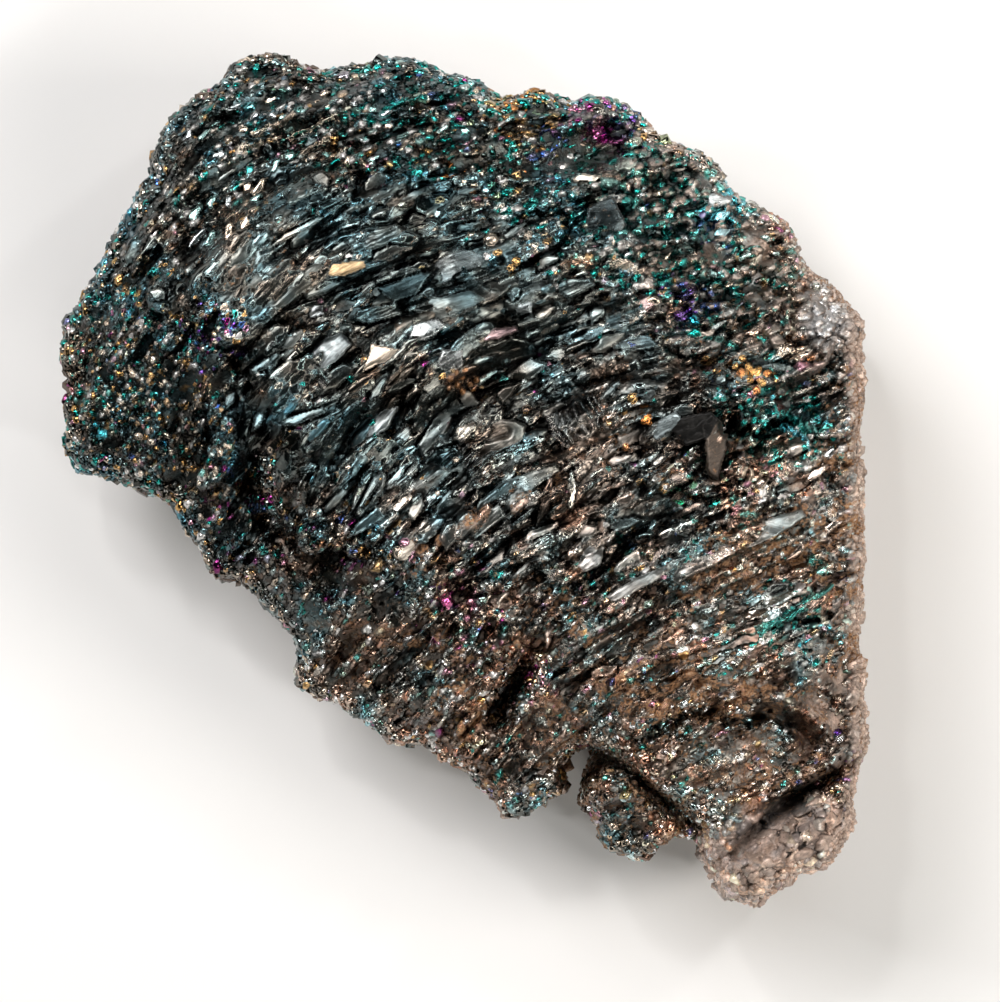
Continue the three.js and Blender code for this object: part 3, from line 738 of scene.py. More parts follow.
def raise_plates(weight, seed, spacing, sizes, shiny, first, mark):
    """Flat plates with straight sides and a dark gap around each, most of them longer along the growth."""
    r = np.random.default_rng(seed)
    spots = dart(5000, weight * (HERO == 0), seed + 1, spacing, 2.6)
    count = 0
    for m, (x, y) in enumerate(spots):
        part = 0.62 + 0.38 * blade_field[np.searchsorted(MX[:, 0], x), np.searchsorted(MY[0], y)]
        long_, wide = (sizes[0] + sizes[1] * r.random() ** 1.5) * part, (sizes[2] + sizes[3] * r.random() ** 1.4) * part
        lie = math.atan2(*flow(np.array([x]), np.array([y]))[0][::-1]) + r.normal(0, 0.22)
        corners = np.arange(5) * 2 * math.pi / 5 + r.uniform(0, 6.3) + r.normal(0, 0.25, 5)
        reach = r.uniform(0.72, 1.0, 5)
        skew = r.normal(0, 0.45)
        shine = r.random() < shiny
        toward = math.radians(r.normal(135, 22)) if shine else r.uniform(0, 2 * math.pi)
        steep = r.uniform(0.28, 0.40) if shine else r.uniform(0.03, 0.26)
        lift, bow, twist = r.uniform(0.12, 0.42), r.uniform(0.0, 0.05), r.normal(0, 0.03)
        i, j = np.searchsorted(MX[:, 0], x), np.searchsorted(MY[0], y)
        near = (slice(max(i - 30, 0), i + 31), slice(max(j - 30, 0), j + 31))
        if HERO[near].any():
            busy = HERO[max(i - 6, 0) : i + 7, max(j - 6, 0) : j + 7].any()
            if busy:
                continue
        dx, dy = MX[near] - x, MY[near] - y
        u, v = dx * math.cos(lie) + dy * math.sin(lie), -dx * math.sin(lie) + dy * math.cos(lie)
        v = v - skew * u * wide / long_
        out = np.stack([(u * math.cos(c) / (long_ / 2) + v * math.sin(c) / (wide / 2) - q) * wide / 2 for c, q in zip(corners, reach)]).max(0)
        inside = (out < 0) & (HERO[near] == 0) & KNOWN[near]
        if inside.sum() < 12:
            continue
        was = ground[near]
        plane = np.percentile(was[inside], 62) + lift - steep * (dx * math.cos(toward) + dy * math.sin(toward))
        plane = plane - bow * (u * u + v * v) + twist * u * v
        win = inside & (plane > was - 0.35)
        rim = 0.30 if mark == 500 else 0.18
        gap = (out >= 0) & (out < rim) & (HERO[near] == 0)
        was[gap] -= 1.5 * (rim - out[gap])
        was[win] = plane[win]
        CRYSTAL[near][win], LARGE[near][win] = first + m, 1.0
        FACET[near][win], TURN[near][win], HERO[near][win] = (first + m) * 8, lie, mark
        count += 1
    print("plates", count, flush=True)


# the block: a dark top, a paler face on its left and a steep brown one on its right; the top's near-black colour is
# painted shade
def raise_block():
    base = np.percentile(ground[ellipse(692, 434, 36, 26, 20) < 1], 60)
    for pts, toward, steep, lift, k in (
        ([(669, 430), (678, 419), (709, 412), (718, 421), (705, 440), (684, 446)], 280, 0.14, 1.5, 81),
        ([(704, 440), (718, 420), (728, 432), (725, 452), (717, 480), (706, 474)], 345, 0.85, 0.6, 82),
        ([(652, 438), (657, 421), (674, 412), (680, 418), (669, 430), (656, 440)], 165, 0.40, 1.1, 83),
    ):
        odd = within(pts, 0.35)
        a = math.radians(toward)
        x, y = MX[odd].mean(), MY[odd].mean()
        plane = base + lift - steep * ((MX - x) * math.cos(a) + (MY - y) * math.sin(a)) + 0.05 * noise3(MX, MY, 0.0, 0.8, 85)
        ground[odd] = plane[odd]
        CRYSTAL[odd], LARGE[odd], HERO[odd], FACET[odd] = 9990000 + k, 1.0, k, (9990000 + k) * 8


# Rows of slivers: (dots of the first and the last sliver, how many, the direction each lies in, length and width in dots, tint)
COMBS = [
    ((776, 408), (818, 432), 9, 108, 16, 3.6, "teal"), ((782, 422), (812, 446), 7, 108, 12, 3.4, "cyan"),
    ((545, 428), (598, 404), 9, 118, 18, 4.2, "silver"), ((556, 442), (604, 420), 8, 118, 12, 4.0, "silver"),
    ((738, 470), (770, 486), 6, 60, 12, 3.6, "cream"), ((306, 402), (330, 372), 6, 130, 10, 3.0, "silver"),
    ((795, 604), (828, 588), 6, 40, 18, 4.0, "teal"), ((760, 630), (800, 612), 6, 36, 16, 4.0, "teal"),
    ((648, 560), (690, 540), 7, 62, 14, 4.0, "silver"), ((612, 262), (640, 272), 6, 20, 12, 3.4, "cream"),
    ((384, 108), (420, 96), 7, 30, 12, 3.6, "teal"), ((462, 440), (474, 470), 5, 40, 14, 4.0, "silver"),
    ((254, 132), (292, 118), 5, 34, 13, 5.0, "cream"), ((288, 136), (332, 116), 6, 30, 12, 4.6, "cream"),
    ((300, 150), (330, 138), 4, 36, 11, 4.4, "cream"), ((236, 150), (262, 140), 4, 50, 10, 4.4, "cream"),
]  # fmt: skip
# Round beads: (dot, dot, radius in dots, tint, how much of it, how dull)
BEADS = [
    (706, 862, 6.5, "cream", 0.9, 0.3), (668, 816, 6, "pale teal", 0.8, 0.5), (729, 848, 5, "cream", 0.6, 0.4),
    (743, 357, 4, "gold", 0.9, 0.0), (750, 366, 4.5, "gold", 0.9, 0.0), (741, 372, 4, "orange", 0.8, 0.1),
    (757, 372, 5, "gold", 1.0, 0.0), (750, 380, 4.5, "gold", 0.9, 0.0), (762, 382, 4.5, "gold", 0.9, 0.0),
    (768, 374, 4, "orange", 0.8, 0.1), (757, 390, 4, "orange", 0.8, 0.0), (735, 365, 3.5, "gold", 0.7, 0.0),
    (645, 420, 4, "orange", 0.9, 0.0), (632, 398, 5, "gold", 0.8, 0.0), (626, 448, 4, "orange", 0.7, 0.1),
    (490, 238, 7, "cream", 0.6, 0.1), (516, 262, 4, "gold", 0.9, 0.0), (510, 268, 3.5, "gold", 0.8, 0.0),
    (498, 252, 4, "gold", 0.7, 0.0), (528, 236, 5, "cream", 0.6, 0.1), (100, 433, 2.8, "cyan", 1.0, 0.0),
    (130, 372, 3.7, "cream", 0.8, 0.0), (148, 376, 3.1, "gold", 0.6, 0.0), (162, 382, 3.1, "cream", 0.6, 0.0),
    (138, 436, 4.3, "cream", 0.6, 0.0), (150, 442, 3.7, "cream", 0.5, 0.0), (170, 452, 3.1, "cream", 0.6, 0.0),
    (134, 460, 2.8, "gold", 0.7, 0.0), (220, 452, 3.7, "cream", 0.9, 0.0), (228, 446, 3.1, "cream", 0.8, 0.0),
    (92, 460, 2.5, "gold", 0.7, 0.0), (116, 448, 2.5, "gold", 0.4, 0.0), (447, 602, 4.5, "hot pink", 0.9, 0.0),
    (398, 552, 6, "cream", 0.8, 0.0), (404, 542, 5, "pink", 0.8, 0.0), (279, 62, 5, "cream", 0.6, 0.2),
    (728, 846, 4, "orange", 0.5, 0.4), (805, 836, 6, "cream", 0.7, 0.3), (838, 788, 5, "cream", 0.8, 0.1),
    (450, 380, 3.1, "rust", 0.9, 0.5), (457, 386, 3.5, "rust", 0.85, 0.5), (463, 379, 3.1, "orange", 0.55, 0.4),
    (470, 384, 3.1, "rust", 0.8, 0.5), (476, 379, 3.1, "rust", 0.9, 0.5), (456, 374, 3.1, "rust", 0.8, 0.6),
    (466, 372, 2.7, "orange", 0.4, 0.5), (473, 390, 2.7, "rust", 0.9, 0.5), (448, 388, 2.7, "rust", 0.8, 0.5),
    (481, 386, 2.7, "gold", 0.35, 0.4), (462, 391, 2.7, "rust", 0.9, 0.5), (452, 372, 2.3, "gold", 0.4, 0.3),
    (742, 408, 3, "teal", 0.8, 0.0), (750, 404, 3, "pale teal", 0.8, 0.0), (757, 410, 3.5, "teal", 0.7, 0.0),
    (748, 414, 3, "pale teal", 0.8, 0.0), (762, 402, 3, "teal", 0.8, 0.0), (755, 420, 3.5, "teal", 0.8, 0.0),
    (765, 416, 3, "pale teal", 0.9, 0.0), (768, 426, 3, "teal", 0.8, 0.0), (745, 424, 3, "teal", 0.7, 0.0),
    (774, 398, 3, "cyan", 0.7, 0.0), (760, 432, 3, "teal", 0.8, 0.0), (752, 438, 3, "pale teal", 0.7, 0.0),
    (826, 424, 3.5, "cyan", 0.8, 0.0), (834, 438, 3, "teal", 0.8, 0.0), (806, 448, 3, "teal", 0.8, 0.0),
]  # fmt: skip


def raise_combs():
    for m, ((ax, ay), (bx, by), count, lie, long_, wide, name) in enumerate(COMBS):
        a = math.radians(lie)
        for k in range(count):
            t = (k + 0.5) / count + 0.06 * math.sin(7.1 * k + m)
            x, y = ax + t * (bx - ax), ay + t * (by - ay)
            dx, dy = (JX - x) / 10, -(JY - y) / 10
            u = (dx * math.cos(a) + dy * math.sin(a)) / (long_ / 20 * (1 + 0.25 * math.sin(5.3 * k + m)))
            v = (-dx * math.sin(a) + dy * math.cos(a)) / (wide / 20)
            odd = (np.abs(u) < 1) & (np.abs(v) < 1) & KNOWN
            if not odd.any():
                continue
            top_ = np.percentile(ground[odd], 70) + 0.12 * math.sin(3.7 * k)
            z = top_ + 0.30 * np.minimum.reduce([(1 - v) / 0.8, (1 + v) / 1.2, (1 - np.abs(u)) / 0.3]) + (MX - MX[odd].mean()) * 0.10
            win = odd & (z > ground - 0.2)
            ground[win] = z[win]
            CRYSTAL[win], LARGE[win], HERO[win] = 9800000 + m * 100 + k, 0.6, 200 + m
            FACET[win] = (9800000 + m * 100 + k) * 8 + (v > 0.2)[win]


def raise_beads():
    for k, (px, py, radius, name, much, q) in enumerate(BEADS):
        d = np.hypot(JX - px, JY - py) / radius
        odd = (d < 1) & KNOWN
        if not odd.any():
            continue
        z = np.percentile(ground[odd], 60) + radius / 10 * 0.75 * np.sqrt(np.maximum(1 - d * d, 0))
        win = odd & (z > ground - 0.1)
        ground[win] = z[win]
        CRYSTAL[win], LARGE[win], HERO[win], FACET[win] = 9700000 + k, 0.8, 300 + k, (9700000 + k) * 8


raise_faces()
raise_plates(np.clip(blade_field * 1.2 + 0.5 * ridge_field, 0, 1) * (1 - WAXY) * (SMALL_GAPS < 1.2), 108, 2.7, (1.3, 4.6, 0.65, 1.35), 0.24, 9600000, 500)
_glint = 1 - step(0.6, 1.1, np.minimum.reduce([ellipse(330, 128, 150, 40, 0), ellipse(222, 190, 50, 50, 0), ellipse(700, 235, 80, 60, 0), ellipse(800, 430, 50, 40, 0)]))
raise_plates(_glint, 113, 0.80, (1.1, 1.6, 0.62, 0.40), 0.75, 9640000, 501)
where = np.clip(ridge_field * 1.3 + combed * blade_field * 0.45 + 0.10, 0, 1) * (1 - CRUST) * (1 - SUGAR) * (1 - LOBE) * (HERO == 0)
grow(dart(30000, where, 65, 0.62), 66, (1.7, 0.7, 0.9, 4.0), (0.38, 1.1), (0.3, 0.55), [0.3, 0.4, 0.3], (0.28, 0.12), (0.0, 0.35), 0.7, 0.13, (0.3, 0.9))
HERO[(CRYSTAL < 9600000) | (RUN > 0.5) & (HERO == 0)] = 0
ground = ground - 0.5 * step(1.1, 2.3, SMALL_GAPS) * (1 - LOBE) * (1 - CRUST) * (1 - 0.7 * np.maximum(WAXY, RUN)) * (HERO == 0) - 0.40 * FURROW
raise_block()
raise_combs()

# beds of grains: small ones on the left and along the rims, lumps at the upper right, sugar at the lower right
left = 1 - step(250, 420, PX + 0.25 * (500 - PY))
lumpy = step(560, 650, PX - 0.2 * (PY - 150)) * (1 - step(300, 380, PY - 0.3 * (PX - 700)))
sugar = np.maximum(step(600, 700, PY + 0.25 * (PX - 600)) * step(480, 600, PX), SUGAR)
druse = np.clip(1 - np.maximum(blade_field * 1.15, ridge_field * 1.1), 0, 1)
druse = np.maximum.reduce([druse, LOBE, 0.9 * SUGAR]) * (1 - 0.6 * CRUST) * (HERO == 0)
clump = 0.46 * noise3(MX, MY, 0.0, 1.6, 68) + 0.32 * noise3(MX, MY, 0.0, 0.9, 69) + 0.40 * lumpy * noise3(MX, MY, 0.0, 2.4, 96)
ground = ground + druse * clump
for size, aspect, seed, cut, weight in [
    (0.50, 1.35, 71, 0.12, 1.15 * druse * (1 - np.maximum(lumpy, sugar)) * (1 - LOBE)),
    (0.37, 1.15, 79, 0.12, 1.2 * druse * LOBE),
    (0.98, 1.30, 72, 0.15, 1.12 * druse * lumpy),
    (0.42, 1.20, 78, 0.20, 0.42 * druse * lumpy),
    (0.46, 1.25, 73, 0.40, np.maximum(druse * sugar, 0.55 * ridge_field * (1 - sugar))),
    (0.62, 1.25, 75, 0.10, 0.9 * step(34.6, 36.4, MX) * step(-33, -30, MY)),
]:
    high, who, face, apart = grain_bed(size, aspect, seed, cut, 0.42 if seed == 71 else 0.34, {71: 2.7, 72: 3.2, 73: 2.6, 78: 3.0, 79: 2.5}.get(seed, 2.0))
    weight = weight * (HERO == 0)
    cleft = (0.45 if seed in (71, 79) else 0.34) * size * np.exp(-((apart / (0.16 * size + 0.02)) ** 2))
    ground = ground + weight * (1.25 * (np.maximum(high, {71: -0.85, 72: -0.6, 78: -0.6, 79: -0.9}.get(seed, -0.35) * size) - 0.3 * size) - cleft)
    on = (weight > 0.35) & (chance(who, 12) < (0.28 if seed == 78 else 0.5) + weight)
    CRYSTAL[on], LARGE[on], FACET[on] = who[on], 0.0, face[on]
    TURN[on] += 3 * (chance(who, 13)[on] - 0.5)
# single grains scattered over the blades
high, who, face, apart = grain_bed(0.42, 1.2, 76, 0.5)
on = (chance(who, 14) < 0.10 + 0.25 * (1 - blade_field) + 0.25 * step(1.0, 2.0, -SMALL_GAPS)) & (high > 0.02) & (druse < 0.4) & (CRUST < 0.3)
on &= (HERO == 0) | (chance(who, 15) < 0.15)
ground[on] += high[on] * 0.8
CRYSTAL[on], LARGE[on], FACET[on], HERO[on] = who[on], 0.3, face[on], 0
on = CRYSTAL == 0
CRYSTAL[on], LARGE[on], FACET[on] = who[on], 0.0, who[on] * 8
print("beds", flush=True)
# blocks and ribs of the crust
block, who, face, apart = grain_bed(1.15, 1.5, 74, 0.65, 0.30, 4.0)
small_block, who2, face2, apart2 = grain_bed(0.55, 1.1, 77, 0.3, 0.25)
a_ = (chance(who, 16) * 1.2 - 0.2) + math.radians(70)
rib = np.sin((PX * np.cos(a_) - PY * np.sin(a_)) * 1.35 + 1.0 * noise3(MX, MY, 0.0, 2.5, 65)) * (chance(who, 17) < 0.6)
pebbly = (chance(who, 18) < 0.45) * 1.0
open_ = step(-1.0, 0.5, noise3(MX, MY, 0.0, 1.3, 97))
cleft = 1.1 * open_ * np.exp(-((apart / (0.06 + 0.24 * open_)) ** 2))
cleft = cleft + 2.1 * step(0.36, 0.85, noise3(MX, MY, 0.0, 1.9, 94) + 0.45 * noise3(MX, MY, 0.0, 0.7, 95))
ground = ground + CRUST * (
    1.2 * np.clip(block, -0.6, 0.6)
    + 0.24 * bell(who, 19)
    - cleft
    + 0.07 * rib * (1 - pebbly)
    + pebbly * (0.9 * small_block - 0.25 * np.exp(-((apart2 / 0.09) ** 2)))
    + 0.10 * noise3(MX, MY, 0.0, 0.45, 98)
)
on = CRUST > 0.5
CRYSTAL[on], FACET[on] = np.where(pebbly > 0, who2, who)[on], np.where(pebbly > 0, face2, face)[on]
raise_beads()
# gentle waves in every face
melt = np.clip(np.maximum(blade_field, WAXY * (1 - LOBE)), 0, 1) * (1 - CRUST) * (1 - 0.85 * RUN)
ground = ground + (0.016 + 0.026 * melt) * FINE * (1 - 0.5 * CRUST) + (0.008 + 0.032 * melt) * noise3(MX, MY, 0.0, 1.1, 66)
ground = ground + 0.05 * noise3(MX, MY, 0.0, 2.6, 67) + 0.06 * WAXY * (1 - LOBE) * noise3(MX, MY, 0.0, 1.6, 86)
# nothing stands out of the part's own height
ground = np.where(ground > 34.2, 34.2 + 1.3 * np.tanh((ground - 34.2) / 1.3), ground)

# the fine mesh covers the upper face up to here, and dips under the body's skin at its edge
valid = KNOWN & (BODY_TOP > 16.2) & (DEPTH > 0.7)
slope = np.hypot(*np.gradient(fill(BODY_TOP, KNOWN, 0.5), PITCH))
valid &= slope < 3.2
deep = shrink(valid, 17)
blocks = (NX // GROUP, GROUP, NY // GROUP, GROUP)
coarse = valid[:-1, :-1].reshape(blocks).all((1, 3)) & (deep[:-1, :-1].reshape(blocks).min((1, 3)) >= 2)
fade = step(2, 8, deep)
SKIN_Z = mix(ground, fill(ground, KNOWN, 0.10), 0.35)
SKIN_Z = np.where(KNOWN, SKIN_Z, fill(ground, KNOWN, 0.5)) + 0.12 * fade - 1.1 * (1 - fade)


def own_slope(z, who, axis):
    """Slope along an axis, read only from neighbours on the same face, so that faces meet in sharp edges."""
    z, who = np.moveaxis(z, axis, 0), np.moveaxis(who, axis, 0)
    d, same = z[1:] - z[:-1], who[1:] == who[:-1]
    ahead, behind = np.zeros_like(z), np.zeros_like(z)
    ahead[:-1], behind[1:] = d, d
    a_ok, b_ok = np.zeros(z.shape, bool), np.zeros(z.shape, bool)
    a_ok[:-1], b_ok[1:] = same, same
    out = np.where(a_ok == b_ok, (ahead + behind) / 2, np.where(a_ok, ahead, behind))
    return np.moveaxis(out / PITCH, 0, axis)


SLOPE_X, SLOPE_Y = own_slope(SKIN_Z, FACET, 0), own_slope(SKIN_Z, FACET, 1)
STEEP = np.hypot(SLOPE_X, SLOPE_Y)
COVER = np.zeros(MX.shape, bool)
COVER[:-1, :-1] = np.kron(coarse, np.ones((GROUP, GROUP), bool))
TOP = np.where(KNOWN, np.where(COVER, np.maximum(SKIN_Z, BODY_TOP), BODY_TOP), np.nan)
# how deep each point lies between its neighbours, and the same for the whole crystal that it belongs to
HOLLOW = np.clip(0.4 + (fill(SKIN_Z, COVER, 0.45) - SKIN_Z) / 0.5, 0, 1)
_, _where = np.unique(CRYSTAL[COVER], return_inverse=True)
_mean = np.bincount(_where, HOLLOW[COVER]) / np.bincount(_where)
LOW = HOLLOW.copy()
LOW[COVER] = _mean[_where]


# ---------------------------------------------------------------- colour
COOL = np.array([0.158, 0.190, 0.184])
WARM = np.array([0.520, 0.415, 0.345])
TINTS = {
    "teal": (0.02, 0.50, 0.44),
    "green": (0.03, 0.42, 0.22),
    "cyan": (0.10, 0.66, 0.78),
    "blue": (0.08, 0.20, 0.66),
    "violet": (0.22, 0.08, 0.52),
    "magenta": (0.46, 0.04, 0.30),
    "pink": (0.85, 0.42, 0.55),
    "hot pink": (0.90, 0.16, 0.46),
    "gold": (0.80, 0.47, 0.17),
    "orange": (0.80, 0.30, 0.07),
    "cream": (0.90, 0.74, 0.58),
    "rust": (0.20, 0.078, 0.014),
    "black": (0.035, 0.040, 0.040),
    "silver": (0.62, 0.66, 0.66),
    "pale teal": (0.45, 0.70, 0.66),
}
# Films of colour on the piece: (dot, dot, radius in dots, tint, share of the crystals that have it)
FILMS = [
    (400, 98, 85, "teal", 0.42), (300, 130, 70, "teal", 0.16), (470, 120, 45, "teal", 0.35),
    (560, 140, 75, "teal", 0.42), (650, 170, 75, "teal", 0.40), (700, 240, 60, "teal", 0.50),
    (620, 250, 70, "teal", 0.40), (680, 300, 50, "teal", 0.38), (760, 300, 60, "teal", 0.28),
    (720, 214, 22, "cyan", 0.85), (712, 236, 16, "blue", 0.6), (765, 425, 50, "teal", 0.55),
    (805, 420, 30, "teal", 0.50), (800, 600, 42, "teal", 0.62), (735, 625, 50, "teal", 0.35),
    (690, 480, 60, "green", 0.14), (820, 640, 26, "cyan", 0.35), (100, 433, 9, "cyan", 0.8),
    (90, 320, 60, "teal", 0.22), (110, 420, 70, "teal", 0.18), (240, 100, 60, "teal", 0.12),
    (530, 120, 34, "gold", 0.62), (515, 112, 20, "orange", 0.4), (548, 140, 22, "blue", 0.4),
    (755, 372, 20, "gold", 0.30), (735, 362, 16, "orange", 0.25), (650, 410, 20, "gold", 0.45),
    (628, 425, 20, "orange", 0.35), (130, 330, 90, "gold", 0.15), (140, 420, 90, "gold", 0.18), (140, 380, 90, "cream", 0.20), (140, 400, 90, "teal", 0.14),
    (220, 470, 70, "gold", 0.18), (340, 500, 60, "gold", 0.22), (350, 268, 14, "gold", 0.35),
    (216, 338, 27, "magenta", 0.20), (214, 338, 30, "violet", 0.34), (236, 330, 14, "blue", 0.3),
    (600, 112, 30, "magenta", 0.45), (618, 128, 26, "violet", 0.45), (590, 120, 20, "pink", 0.3),
    (447, 602, 9, "magenta", 0.9), (470, 620, 46, "magenta", 0.16), (465, 618, 50, "pink", 0.20), (430, 600, 30, "violet", 0.20),
    (532, 680, 22, "pink", 0.55), (538, 668, 14, "magenta", 0.45), (405, 545, 22, "pink", 0.40),
    (675, 300, 26, "violet", 0.55), (700, 310, 20, "blue", 0.25), (74, 392, 13, "magenta", 0.6),
    (330, 560, 40, "magenta", 0.14), (250, 520, 40, "magenta", 0.10), (850, 592, 20, "violet", 0.25),
    (320, 308, 9, "pink", 0.5), (845, 750, 26, "violet", 0.25), (790, 350, 26, "orange", 0.25),
    (820, 325, 42, "cream", 0.55), (835, 300, 30, "silver", 0.45), (500, 130, 60, "orange", 0.12),
    (780, 870, 80, "cream", 0.45), (640, 830, 40, "cream", 0.2), (400, 545, 14, "cream", 0.4),
    (760, 790, 90, "cream", 0.14), (800, 520, 60, "cream", 0.16), (300, 690, 60, "cream", 0.14),
]  # fmt: skip
# Rust and dust: (dot, dot, radius in dots, how thick)
RUST = [
    (700, 700, 75, 0.60), (640, 690, 60, 0.55), (560, 740, 50, 0.55), (490, 680, 40, 0.45), (760, 770, 70, 0.55),
    (660, 702, 20, 0.95), (700, 692, 20, 1.0), (742, 698, 20, 0.95), (780, 700, 20, 0.80), (620, 690, 22, 0.7),
    (835, 450, 22, 0.6), (838, 520, 24, 0.7), (836, 580, 24, 0.6), (840, 650, 24, 0.5), (520, 500, 16, 0.5),
    (780, 552, 26, 0.7), (700, 585, 22, 0.6), (665, 470, 18, 0.45), (420, 560, 22, 0.45), (350, 660, 30, 0.5),
    (700, 820, 60, 0.55), (600, 800, 60, 0.55), (800, 720, 45, 0.45), (560, 610, 45, 0.40), (510, 590, 30, 0.40),
    (456, 383, 8, 0.35), (472, 381, 8, 0.35), (480, 520, 18, 0.45), (560, 490, 22, 0.35), (610, 460, 18, 0.35), (740, 560, 46, 0.60),
    (800, 545, 40, 0.45), (620, 430, 22, 0.4), (700, 330, 40, 0.25), (740, 320, 35, 0.35), (420, 720, 45, 0.35),
    (380, 680, 45, 0.25), (850, 400, 30, 0.35), (780, 850, 60, 0.35), (480, 770, 50, 0.5), (780, 240, 50, 0.30),
    (820, 280, 40, 0.35), (600, 380, 40, 0.18), (300, 330, 20, 0.12), (330, 600, 50, 0.26), (400, 640, 60, 0.28),
    (450, 700, 50, 0.34), (370, 720, 40, 0.30), (300, 560, 36, 0.26), (420, 600, 26, 0.35), (270, 500, 30, 0.25),
    (425, 552, 8, 0.9), (440, 541, 8, 0.9), (455, 531, 8, 0.9), (470, 521, 8, 0.9), (486, 510, 8, 0.8), (360, 634, 14, 0.6),
    (385, 640, 16, 0.7), (410, 640, 18, 0.7), (440, 640, 18, 0.7), (465, 655, 14, 0.7), (440, 700, 16, 0.9), (458, 690, 16, 0.9),
    (475, 712, 14, 0.9), (465, 728, 14, 0.8), (575, 632, 14, 0.7), (592, 640, 12, 0.7), (520, 640, 14, 0.6), (560, 650, 16, 0.6),
    (770, 560, 14, 0.9), (795, 552, 14, 0.9), (820, 545, 12, 0.8), (745, 572, 14, 0.8), (715, 588, 12, 0.7), (690, 600, 12, 0.6),
]  # fmt: skip
# Where the crystals are made lighter than elsewhere, or darker: (dot, dot, radius in dots, how much)
LIGHTER = [
    (640, 200, 130, 1.20), (760, 280, 80, 0.85), (780, 420, 90, 0.34), (740, 690, 80, 0.44), (560, 740, 60, 0.30), (780, 500, 110, 0.34), (380, 640, 120, 0.62),
    (560, 700, 110, 0.22),
    (700, 780, 90, 0.30), (400, 110, 110, 0.04), (800, 640, 70, 0.22), (828, 320, 40, 0.25), (430, 360, 150, -0.10), (620, 590, 70, -0.12),
]  # fmt: skip
# Painted glints: where more of the small grains are painted pale and dull, so that they shine from every side: (dot,
# dot, radius in dots, share)
PAINTED_GLINTS = [
    (290, 126, 46, 0.28), (345, 128, 44, 0.26), (238, 150, 34, 0.24), (395, 125, 40, 0.18), (200, 190, 34, 0.12), (450, 115, 40, 0.10),
    (690, 225, 60, 0.10), (640, 160, 50, 0.10), (730, 280, 50, 0.12), (600, 290, 60, 0.06), (560, 150, 40, 0.08), (650, 250, 60, 0.07),
    (820, 320, 40, 0.40), (150, 380, 60, 0.08), (470, 720, 60, 0.10), (360, 660, 60, 0.07), (700, 450, 60, 0.05), (800, 480, 50, 0.08), (795, 425, 34, 0.26), (815, 600, 34, 0.20), (770, 690, 50, 0.06),
]  # fmt: skip
# Hollows that no light reaches, painted dark as shade: (dot, dot, half length and half width in dots, degrees)
BLACK = [
    (510, 694, 42, 13, 57), (738, 432, 12, 21, 10), (186, 247, 16, 11, 20), (330, 560, 20, 10, 50), (606, 304, 26, 6, 12),
    (586, 768, 24, 15, 25), (640, 782, 36, 7, -38), (790, 806, 62, 9, 32), (730, 716, 48, 4, -4), (240, 440, 9, 50, 4),
]  # fmt: skip


FILM_SHARE = 0.55  # how much of the share of each film is let through


def spread(px, py, x, y, r, seed):
    """How much of a patch reaches a place: 1 at its middle, ragged, 0 well outside it."""
    d = np.hypot(px - x, py - y) / r
    d = d + 0.35 * noise3(px / 10, py / 10, 0.0, 1.6, seed) + 0.2 * noise3(px / 10, py / 10, 0.0, 0.7, seed + 1)
    return 1 - step(0.55, 1.35, d)


